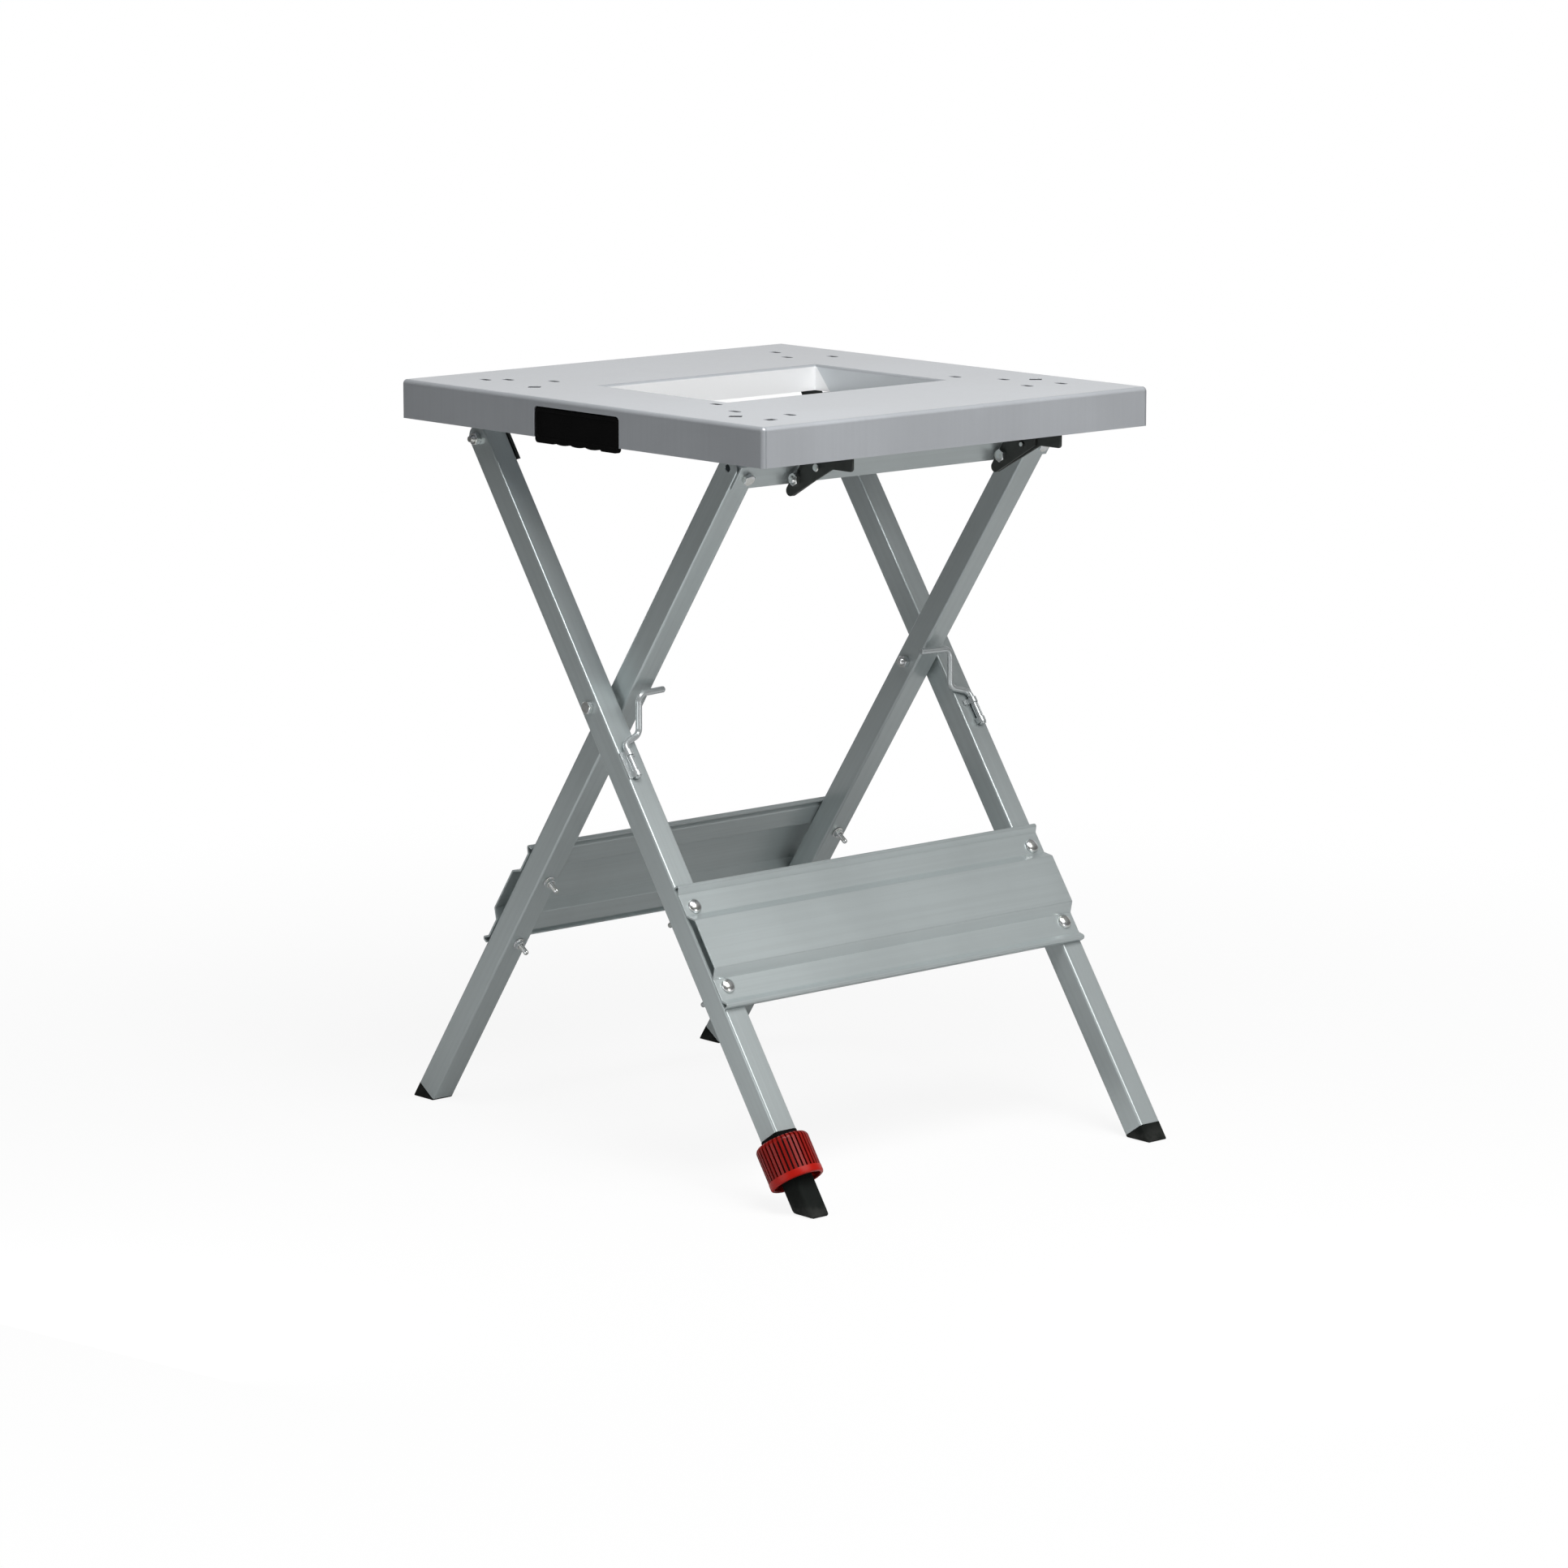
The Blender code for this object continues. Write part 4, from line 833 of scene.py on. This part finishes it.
def make_fasteners():
    """Every bolt, nut, spacer and stud, from a few models."""
    domed, flange_nut = dome_bolt(), nut(M6, M6_ACROSS, M6_NUT, M6_FLANGE)
    for panel, facing, x, (drop, place, body) in (("front_panel", -1, OUTER_X, OUTER),
                                                  ("rear_panel", 1, INNER_X, INNER)):
        for side_name, side in SIDES:
            for row_name, row in (("upper", 1), ("lower", -1)):
                tag = f"{row_name}_{side_name}"
                z = row * BOLT_ROW - drop
                fasten(domed, f"{panel}_dome_{tag}", (side * x, facing * 0.0176, z), (0, -facing, 0), place, body,
                       f"{panel}_bolt_{tag}")
                fasten(flange_nut, f"{panel}_flange_nut_{tag}", (side * x, -facing * 0.0153, z), (0, -facing, 0),
                       place, body, f"{panel}_nut_{tag}")
    plain_nut = nut(M8, M8_ACROSS, M8_NUT)
    crossing, pivot, catch, short = (hex_bolt(*lengths) for lengths in (
        (0.0771, 0.060), (0.0459, 0.032), (0.0161, 0.006), (0.018, 0)))
    spacer = turned([(M8_HOLE, 0), (0.0078, 0), (0.008, 0.0002), (0.008, 0.0042), (0.0078, 0.0044), (M8_HOLE, 0.0044),
                     (M8_HOLE, 0)], 48)
    stud = turned([(0, -0.003), (0.0036, -0.003), (0.0045, -0.0022), (0.0045, 0.0), (0.0025, 0.0), (0.0025, 0.0098),
                   (0, 0.0098)], 40)
    for name, side in SIDES:
        inward, outward = (-side, 0, 0), (side, 0, 0)
        on_legs, on_bar = (ON_OUTER, "outer_frame"), (ON_INNER, "inner_frame")
        on_table, on_lever = (AS_MADE, "table"), (AS_MADE, "catch_lever_" + name)
        for model, made, node, spot, aim, carrier in (
                (crossing, "crossing_hex_bolt_", "crossing_bolt_", (side * 0.2713, 0, 0), inward, on_legs),
                (plain_nut, "crossing_hex_nut_", "crossing_nut_", (side * 0.2057, 0, 0), inward, on_legs),
                (spacer, "crossing_washer_", "crossing_spacer_", (side * 0.2363, 0, 0), outward, on_legs),
                (pivot, "hinge_hex_bolt_", "hinge_bolt_", (side * 0.2369, 0, REACH), outward, on_legs),
                (plain_nut, "hinge_hex_nut_", "hinge_nut_", (side * 0.2713, 0, REACH), outward, on_legs),
                (short, "cross_bar_hex_bolt_", "cross_bar_bolt_", (side * INNER_X, -0.0186, REACH), (0, 1, 0),
                 on_bar),
                (catch, "catch_hex_bolt_", "catch_bolt_", (side * 0.1502, *CATCH_PIVOT), outward, on_table),
                (plain_nut, "catch_hex_nut_", "catch_nut_", (side * 0.1573, *CATCH_PIVOT), outward, on_table),
                (stud, "catch_rivet_", "catch_stud_", (side * 0.1573, *CATCH_STUD), inward, on_lever)):
            fasten(model, made + name, spot, aim, *carrier, node + name)
    for model in (domed, flange_nut, plain_nut, crossing, spacer, pivot, catch, short, stud):
        bpy.data.objects.remove(model, do_unlink=True)


# Hinge brackets, cross bar and front catches
def on_outer(front, up):
    """World (y, z) of a point on the outer legs: in front of the axis, up from the crossing."""
    return (up * sin(TILT) - front * cos(TILT), CROSS_Z + up * cos(TILT) + front * sin(TILT))


def on_inner(front, up):
    """World (y, z) of a point on the inner legs: in front of the axis, up from the crossing."""
    return (-up * sin(TILT) - front * cos(TILT), CROSS_Z + up * cos(TILT) - front * sin(TILT))


CATCH_REAR = 0.0205
CATCH_PIVOT = on_inner(CATCH_REAR + 0.008, REACH)
CATCH_TAIL = on_inner(CATCH_REAR + 0.006, REACH - 0.0185)
STUD_TURN, STUD_REACH, STUD_HOLE, SLOT_HALF = radians(154.5), 0.036, 0.0028, 0.003
LEVER_SWING = radians(17)


def round_pivot(turn):
    """World (y, z) of a point at the stud's distance from the lever's pivot."""
    return (CATCH_PIVOT[0] + STUD_REACH * cos(turn), CATCH_PIVOT[1] + STUD_REACH * sin(turn))


CATCH_STUD = round_pivot(STUD_TURN)


def across(side, close, far):
    """An x range on the left or the right side."""
    return sorted((side * close, side * far))


def make_brackets():
    """The dark plates under the table: rear hinge brackets and front catch brackets with their levers."""
    bar_top = on_inner(0.0153, REACH + 0.016)
    nose_low, nose_rear = bar_top[1] + 0.0012, bar_top[0] + 0.010
    nose_up = (nose_low - CROSS_Z + CATCH_REAR * sin(TILT)) / cos(TILT)
    front, flag_low, flag_high = -0.267, 0.791, 0.812
    flag_front, flag_rear = -0.304, -0.272
    tail = arc(CATCH_TAIL, 0.006, TILT - radians(148), TILT, 14)
    hinge = [on_outer(0.0165, REACH - 0.038), on_outer(0.0165, REACH + 0.015), (HINGE_Y - 0.014, UNDERSIDE),
             (HINGE_Y + 0.048, UNDERSIDE), on_outer(-0.0165, REACH), on_outer(-0.0165, REACH - 0.027)]
    plate_line = tail + [on_inner(CATCH_REAR, nose_up), (nose_rear, nose_low), (nose_rear, UNDERSIDE),
                         (front, UNDERSIDE), (front, flag_low)]
    lever_line = tail + arc(CATCH_PIVOT, 0.008, TILT, TILT + radians(80), 10) + [(flag_rear + 0.032, 0.806),
                                                                                (flag_rear, flag_high)]
    lever_line += arc((flag_front + 0.004, flag_high - 0.004), 0.004, pi / 2, pi, 6)
    lever_line += arc((flag_front + 0.004, flag_low + 0.004), 0.004, pi, 1.5 * pi, 6) + [(flag_rear, flag_low)]
    swept = STUD_TURN - LEVER_SWING
    slot = arc(CATCH_PIVOT, STUD_REACH + SLOT_HALF, swept, STUD_TURN, 8)
    slot += arc(CATCH_STUD, SLOT_HALF, STUD_TURN, STUD_TURN + pi, 8)[1:-1]
    slot += arc(CATCH_PIVOT, STUD_REACH - SLOT_HALF, STUD_TURN, swept, 8)
    slot += arc(round_pivot(swept), SLOT_HALF, swept + pi, swept + 2 * pi, 8)[1:-1]
    for name, side in SIDES:
        bracket = plate(hinge, *across(side, 0.2372, 0.2402))
        low, high = across(side, 0.2387, 0.2622)
        flange = block((low, HINGE_Y - 0.008, UNDERSIDE - 0.003), (high, HINGE_Y + 0.042, UNDERSIDE))
        cut(bracket, rod((side * 0.22, HINGE_Y, HINGE_Z), (side * 0.26, HINGE_Y, HINGE_Z), M8_HOLE))
        settle(joined([bracket, flange]), "hinge_plate_" + name, AS_MADE, "table", DARK, ["hinge_bracket_" + name])
        bracket = plate(plate_line, *across(side, 0.1505, 0.1535))
        cut(bracket, rod((side * 0.14, *CATCH_PIVOT), (side * 0.16, *CATCH_PIVOT), M8_HOLE))
        cut(bracket, plate(slot, *across(side, 0.1485, 0.1555), 0))
        low, high = across(side, 0.1345, 0.1520)
        flange = block((low, front + 0.006, UNDERSIDE - 0.003), (high, nose_rear - 0.006, UNDERSIDE))
        settle(joined([bracket, flange]), "catch_plate_" + name, AS_MADE, "table", DARK, ["catch_bracket_" + name])
        lever = plate(lever_line, *across(side, 0.154, 0.157), 0.0007)
        cut(lever, rod((side * 0.14, *CATCH_PIVOT), (side * 0.17, *CATCH_PIVOT), M8_HOLE))
        cut(lever, rod((side * 0.14, *CATCH_STUD), (side * 0.17, *CATCH_STUD), STUD_HOLE))
        settle(lever, "catch_flag_" + name, AS_MADE, "catch_lever_" + name, DARK, ["catch_lever_" + name])


def make_cross_bar():
    """The flat bar between the tops of the inner legs."""
    bar = block((-0.236, -0.0183, REACH - 0.016), (0.236, -0.0153, REACH + 0.016))
    for _, side in SIDES:
        cut(bar, rod((side * INNER_X, -0.03, REACH), (side * INNER_X, 0, REACH), M8_HOLE))
    broken_edges(bar, 0.0007, 3)
    settle(bar, "flat_cross_bar", ON_INNER, "inner_frame", PANEL_PAINT, ["cross_bar"])


# Wire locks and their clips
WIRE = 0.004
WIRE_SEEN = 0.0036
WIRE_BEND = 0.009
CLIP_SHEET, CLIP_FIT = 0.0012, 0.0004
CLIP_LOW, CLIP_STRAP, CLIP_OPEN = -0.097, 0.0065, 0.0190
WIRE_X = OUTER_X + 0.005
WIRE_Y = -(TUBE + 0.0005 + WIRE)


def bent_rod(corners, radius, bend):
    """A round rod pushed along straight runs and swung round its bends, with rounded ends."""
    corners = [Vector(corner) for corner in corners]
    run = (corners[1] - corners[0]).normalized()
    pick_nothing()
    bpy.ops.mesh.primitive_circle_add(vertices=20, radius=radius, fill_type="NGON", location=corners[0],
                                      rotation=run.to_track_quat("Z", "Y").to_euler())
    piece = bpy.context.object
    bake_place()
    at = corners[0]
    with Edit(piece) as edit:
        edit.pick_all()
        for corner, after in zip(corners[1:], corners[2:]):
            onward = (after - corner).normalized()
            half = (-run).angle(onward) / 2
            reach = bend / tan(half)
            centre = corner + (onward - run).normalized() * (bend / sin(half))
            edit.push(corner - run * reach - at)
            edit.swing(run.angle(onward), centre, run.cross(onward).normalized(), 8)
            at, run = corner + onward * reach, onward
        edit.push(corners[-1] - at)
        edit.tidy()
        for spot in (corners[0], corners[-1]):
            edit.pick("EDGE", lambda e: all((v.co - spot).length < radius * 1.02 for v in e.verts))
            edit.bevel(radius * 0.4, 4)
    return piece


def wire_clip(x, side):
    """A sheet clip: a flange beside the wire, a strap over it at each end, and a tab beyond the upper strap."""
    seat, bend = -(TUBE + SKIN + CLIP_SHEET / 2), WIRE_SEEN + CLIP_FIT + CLIP_SHEET / 2
    saddle = [(x + side * a, y) for a, y in arc((0, WIRE_Y), bend, pi, 2 * pi, 14)]
    inner, outer = saddle[0][0] - side * 0.0065, side * (OUTER_X + TUBE - CLIP_SHEET / 2)
    path = [(inner, seat), (saddle[0][0], seat)] + saddle + [(saddle[-1][0], seat), (outer, seat)]
    clip = drawn([(a, y, CLIP_LOW) for a, y in path])
    with Edit(clip) as edit:
        edit.pick_all()
        for length in (CLIP_STRAP, CLIP_OPEN, CLIP_STRAP):
            edit.push((0, 0, length))
        edit.tidy()

        def cut_away(face):
            spot = face.calc_center_median()
            over_wire = side * (saddle[-1][0] - spot.x) > 0.0001
            far_side = side * (saddle[0][0] - spot.x) > 0.0001
            up = spot.z - CLIP_LOW
            between = CLIP_STRAP + 0.0001 < up < CLIP_STRAP + CLIP_OPEN - 0.0001
            return over_wire and (between or far_side and up < CLIP_STRAP + 0.0001)
        edit.pick("FACE", cut_away)
        bpy.ops.mesh.delete(type="FACE")
    wall(clip, CLIP_SHEET, 0.0)
    broken_edges(clip, 0.0002, 2)
    return clip


def make_wire_locks():
    """The bent wires beside the crossings and the saddle clips that hold them to the outer legs."""
    for name, side in SIDES:
        x, inward = side * WIRE_X, side * (WIRE_X - 0.025)
        up = (WIRE_Y - 0.045 * sin(TILT), 0.045 * cos(TILT) - 0.048)
        hook = (inward - side * 0.041, up[0] + 0.006 * cos(TILT), up[1] + 0.006 * sin(TILT))
        corners = [(x, WIRE_Y, -0.099), (x, WIRE_Y, -0.057), (inward, WIRE_Y, -0.048), (inward, *up), hook]
        wire = bent_rod(corners, WIRE_SEEN, WIRE_BEND)
        settle(wire, "lock_wire_" + name, ON_OUTER, "wire_lock_" + name, WIRE_PAINT, ["wire_lock_" + name], 50)
        settle(wire_clip(x, side), "saddle_clip_" + name, ON_OUTER, "outer_frame", WIRE_PAINT,
               ["wire_clip_" + name], 40)


# Feet
def foot_wedge(x, top, lean, edge, lip, half=TUBE):
    """A square block from a level on the leg down to the floor."""
    foot = block((x - half, -half, -LEG_REACH - 0.03), (x + half, half, -top))
    with Edit(foot) as edit:
        edit.pick_all()
        bpy.ops.mesh.bisect(plane_co=(x, 0, -LEG_REACH), plane_no=(0, -lean * sin(TILT), cos(TILT)), use_fill=True,
                            clear_inner=True)
        edit.pick("EDGE", lambda e: max(v.co.z for v in e.verts) < -top - 0.0005 or upright(e))
        edit.bevel(edge, 5)
        edit.pick("EDGE", lambda e: ends_at(e, 2, -top))
        edit.bevel(lip, 3)
    return foot


def make_feet():
    """Three plain caps, and the height foot under its knob."""
    for name, x, lean, place, body in (("foot_cap_outer_right", OUTER_X, 1, ON_OUTER, "outer_frame"),
                                       ("foot_cap_inner_left", -INNER_X, -1, ON_INNER, "inner_frame"),
                                       ("foot_cap_inner_right", INNER_X, -1, ON_INNER, "inner_frame")):
        cap = foot_wedge(x, FOOT_END + SKIN, lean, 0.0024, 0.0006)
        settle(cap, name + "_moulding", place, body, RUBBER, [name])
    top = SOCKET_END + 0.0038
    foot = foot_wedge(-OUTER_X, top + 0.0103, 1, 0.0042, 0.001, TUBE - 0.0014)
    settle(foot, "height_foot", ON_OUTER, "foot", RUBBER, ["foot_block"])
    collar = block((-OUTER_X - TUBE, -TUBE, -SOCKET_END - 0.0033),
                   (-OUTER_X + TUBE, TUBE, -SOCKET_END + COLLAR - SKIN))
    broken_edges(collar, 0.0012, 3)
    plug = 0.0132
    stem = block((-OUTER_X - plug, -plug, -SOCKET_END - 0.001), (-OUTER_X + plug, plug, -SOCKET_END + 0.025))
    bore = rod((-OUTER_X, 0, -SOCKET_END - 0.02), (-OUTER_X, 0, -SOCKET_END + 0.05), 0.0063)
    cut(collar, stem, "UNION")
    cut(collar, bore)
    settle(collar, "height_socket", ON_OUTER, "outer_frame", GRIP, ["foot_socket"])


def make_knob():
    """The ribbed red knob: a rounded shoulder, fine grooves, a plain rim and a hollow underside with webs."""
    top, low = KNOB_TOP, KNOB_LOW
    shoulder = 0.0060
    profile = [(0.006, top + 0.040), (0.006, top), (KNOB - shoulder - 0.002, top)]
    profile += arc((KNOB - shoulder - 0.0003, top - shoulder), shoulder, pi / 2, 0, 6)
    profile += [(KNOB - 0.0003, low + 0.0085), (KNOB, low + 0.0079), (KNOB, low + 0.0022),
                (KNOB - 0.0006, low + 0.0008), (KNOB - 0.0020, low), (KNOB - 0.0030, low),
                (KNOB - 0.0038, low + 0.001), (KNOB - 0.0040, top - 0.010),
                (0.005, top - 0.010), (0.005, top - 0.028), (0, top - 0.028)]
    knob = turned([(0, top + 0.040)] + profile, 5 * KNOB_GROOVES)
    with Edit(knob) as edit:
        def in_groove(face):
            spot = face.calc_center_median()
            turn = Vector((spot.x, spot.y)).angle_signed(Vector((1, 0)), 0.0)
            step = int((turn % (2 * pi)) / (2 * pi) * 5 * KNOB_GROOVES)
            outside = spot.to_2d().length > KNOB - shoulder - 0.0022 and low + 0.0086 < spot.z < top + 0.0001
            return step % 5 < 2 and outside and face.normal.to_2d().dot(spot.to_2d()) > -0.0001
        edit.pick("FACE", in_groove)
        bpy.ops.mesh.extrude_region_shrink_fatten(TRANSFORM_OT_shrink_fatten={"value": -KNOB_GROOVE})
    webs = []
    for index in range(KNOB_WEBS):
        web = block((0.0222, -0.0008, low + 0.004), (KNOB - 0.0035, 0.0008, top - 0.009))
        web.rotation_euler = (0, 0, 2 * pi * index / KNOB_WEBS)
        alone(web)
        bake_place()
        webs.append(web)
    knob = joined([knob] + webs)
    settle(knob, "height_knob", ON_OUTER @ Matrix.Translation((-OUTER_X, 0, 0)), "knob", RED, ["foot_knob"])


make_fasteners()
make_brackets()
make_cross_bar()
make_wire_locks()
make_feet()
make_knob()


# Camera at the photograph's angle
eye = bpy.data.objects.new("eye", bpy.data.cameras.new("eye"))
bpy.context.scene.collection.objects.link(eye)
eye.data.sensor_width = 36
eye.data.lens = 131.59
back = Vector((-0.65533, -0.73327, 0.18128))
right = Vector((0.74562, -0.66637, 0))
up = Vector((0.12080, 0.13517, 0.98343))
stand_point = Vector((0, 0, 0.425)) + back * 6.51156 + right * 0.01266 - up * 0.03262
eye.matrix_world = Matrix.Translation(stand_point) @ Matrix((right, up, back)).transposed().to_4x4()
bpy.context.scene.camera = eye


# Studio
RAYS = ("Is Camera Ray", "Is Glossy Ray", "Is Transmission Ray")


def make_floor():
    """A pale sweep, white to the eye and greyer to mirrors with a brighter ring, that keeps a soft shadow."""
    pick_nothing()
    bpy.ops.mesh.primitive_plane_add(size=160, location=(0, 0, -0.0005))
    floor = bpy.context.object
    floor.name = "studio_floor"
    sweep = Finish("studio_floor_white", "floor")
    seen, mirrored, through = (sweep.ray(kind) for kind in RAYS)
    sweep.wear({"Base Color": sweep.blend(seen, (0.64, 0.64, 0.64), (1.0, 1.0, 1.0)), "Roughness": 0.9})
    glow = sweep.add("ShaderNodeEmission", {}, {"Color": (1.0, 1.0, 1.0, 1.0), "Strength": 1.0})
    away = sweep.add("ShaderNodeVectorMath", {"operation": "LENGTH"}, {0: sweep.place}, "Value")
    ring = sweep.ramp(away, 0.4, 1.0) * sweep.ramp(away, 2.6, 1.2)
    clear = 0.90 + 0.10 * sweep.ramp(away, 0.5, 2.0)
    share = clear * seen + clear * through + (0.08 + 0.18 * ring) * mirrored
    mixed = sweep.add("ShaderNodeMixShader", {}, {0: share, 1: Reading(sweep, sweep.shader.outputs[0]), 2: glow})
    sweep.feed(sweep.nodes["Material Output"].inputs["Surface"], mixed)
    floor.data.materials.append(sweep.material)


def make_lights():
    """A room that is white to the eye and zoned to mirrors, soft lamps above, and two weak ones near the floor."""
    room = bpy.data.worlds.new("white_room")
    bpy.context.scene.world = room
    room.use_nodes = True
    air = Board(room.node_tree)
    facing = air.add("ShaderNodeTexCoord", {}, {}, "Generated")
    rightward, rearward, upward = (air.add("ShaderNodeSeparateXYZ", {}, {0: facing}, axis) for axis in "XYZ")
    seen, mirrored, through = (air.ray(kind) for kind in RAYS)
    high = air.ramp(upward, 0.25, 0.50)
    behind = air.ramp(rearward, -0.2, 0.4) * air.ramp(rightward, -0.4, 0.3)
    zones = 0.26 * high + (1 - high) * (0.15 + 0.70 * behind)
    strength = 0.03 + zones * mirrored + 0.97 * through + 0.97 * seen
    air.feed(air.nodes["Background"].inputs["Color"], (1.0, 1.0, 1.0, 1.0))
    air.feed(air.nodes["Background"].inputs["Strength"], strength)
    for name, place, aim, size, power, colour in (
            ("key_softbox", (-0.65, -1.2, 3.0), (0, 0, 0.5), 1.3, 63, (1.0, 1.0, 1.0)),
            ("front_top_softbox", (0.3, -2.2, 2.6), (0, 0, 0.5), 1.8, 37, (1.0, 0.985, 0.97)),
            ("low_left_panel", (-1.15, -0.15, 0.22), (-0.2, 0.0, 0.25), 0.6, 1.9, (0.97, 1.0, 1.0)),
            ("low_front_panel", (0.0, -1.3, 0.15), (0, -0.2, 0.08), 0.5, 1.7, (1.0, 1.0, 1.0))):
        lamp = bpy.data.lights.new(name, "AREA")
        lamp.size = size
        lamp.energy = power
        lamp.color = colour
        holder = bpy.data.objects.new(name, lamp)
        bpy.context.scene.collection.objects.link(holder)
        holder.location = place
        holder.rotation_euler = (Vector(aim) - Vector(place)).to_track_quat("-Z", "Y").to_euler()
        holder.visible_camera = False


make_floor()
make_lights()
bpy.context.scene.view_settings.view_transform = "Standard"
bpy.context.view_layer.update()
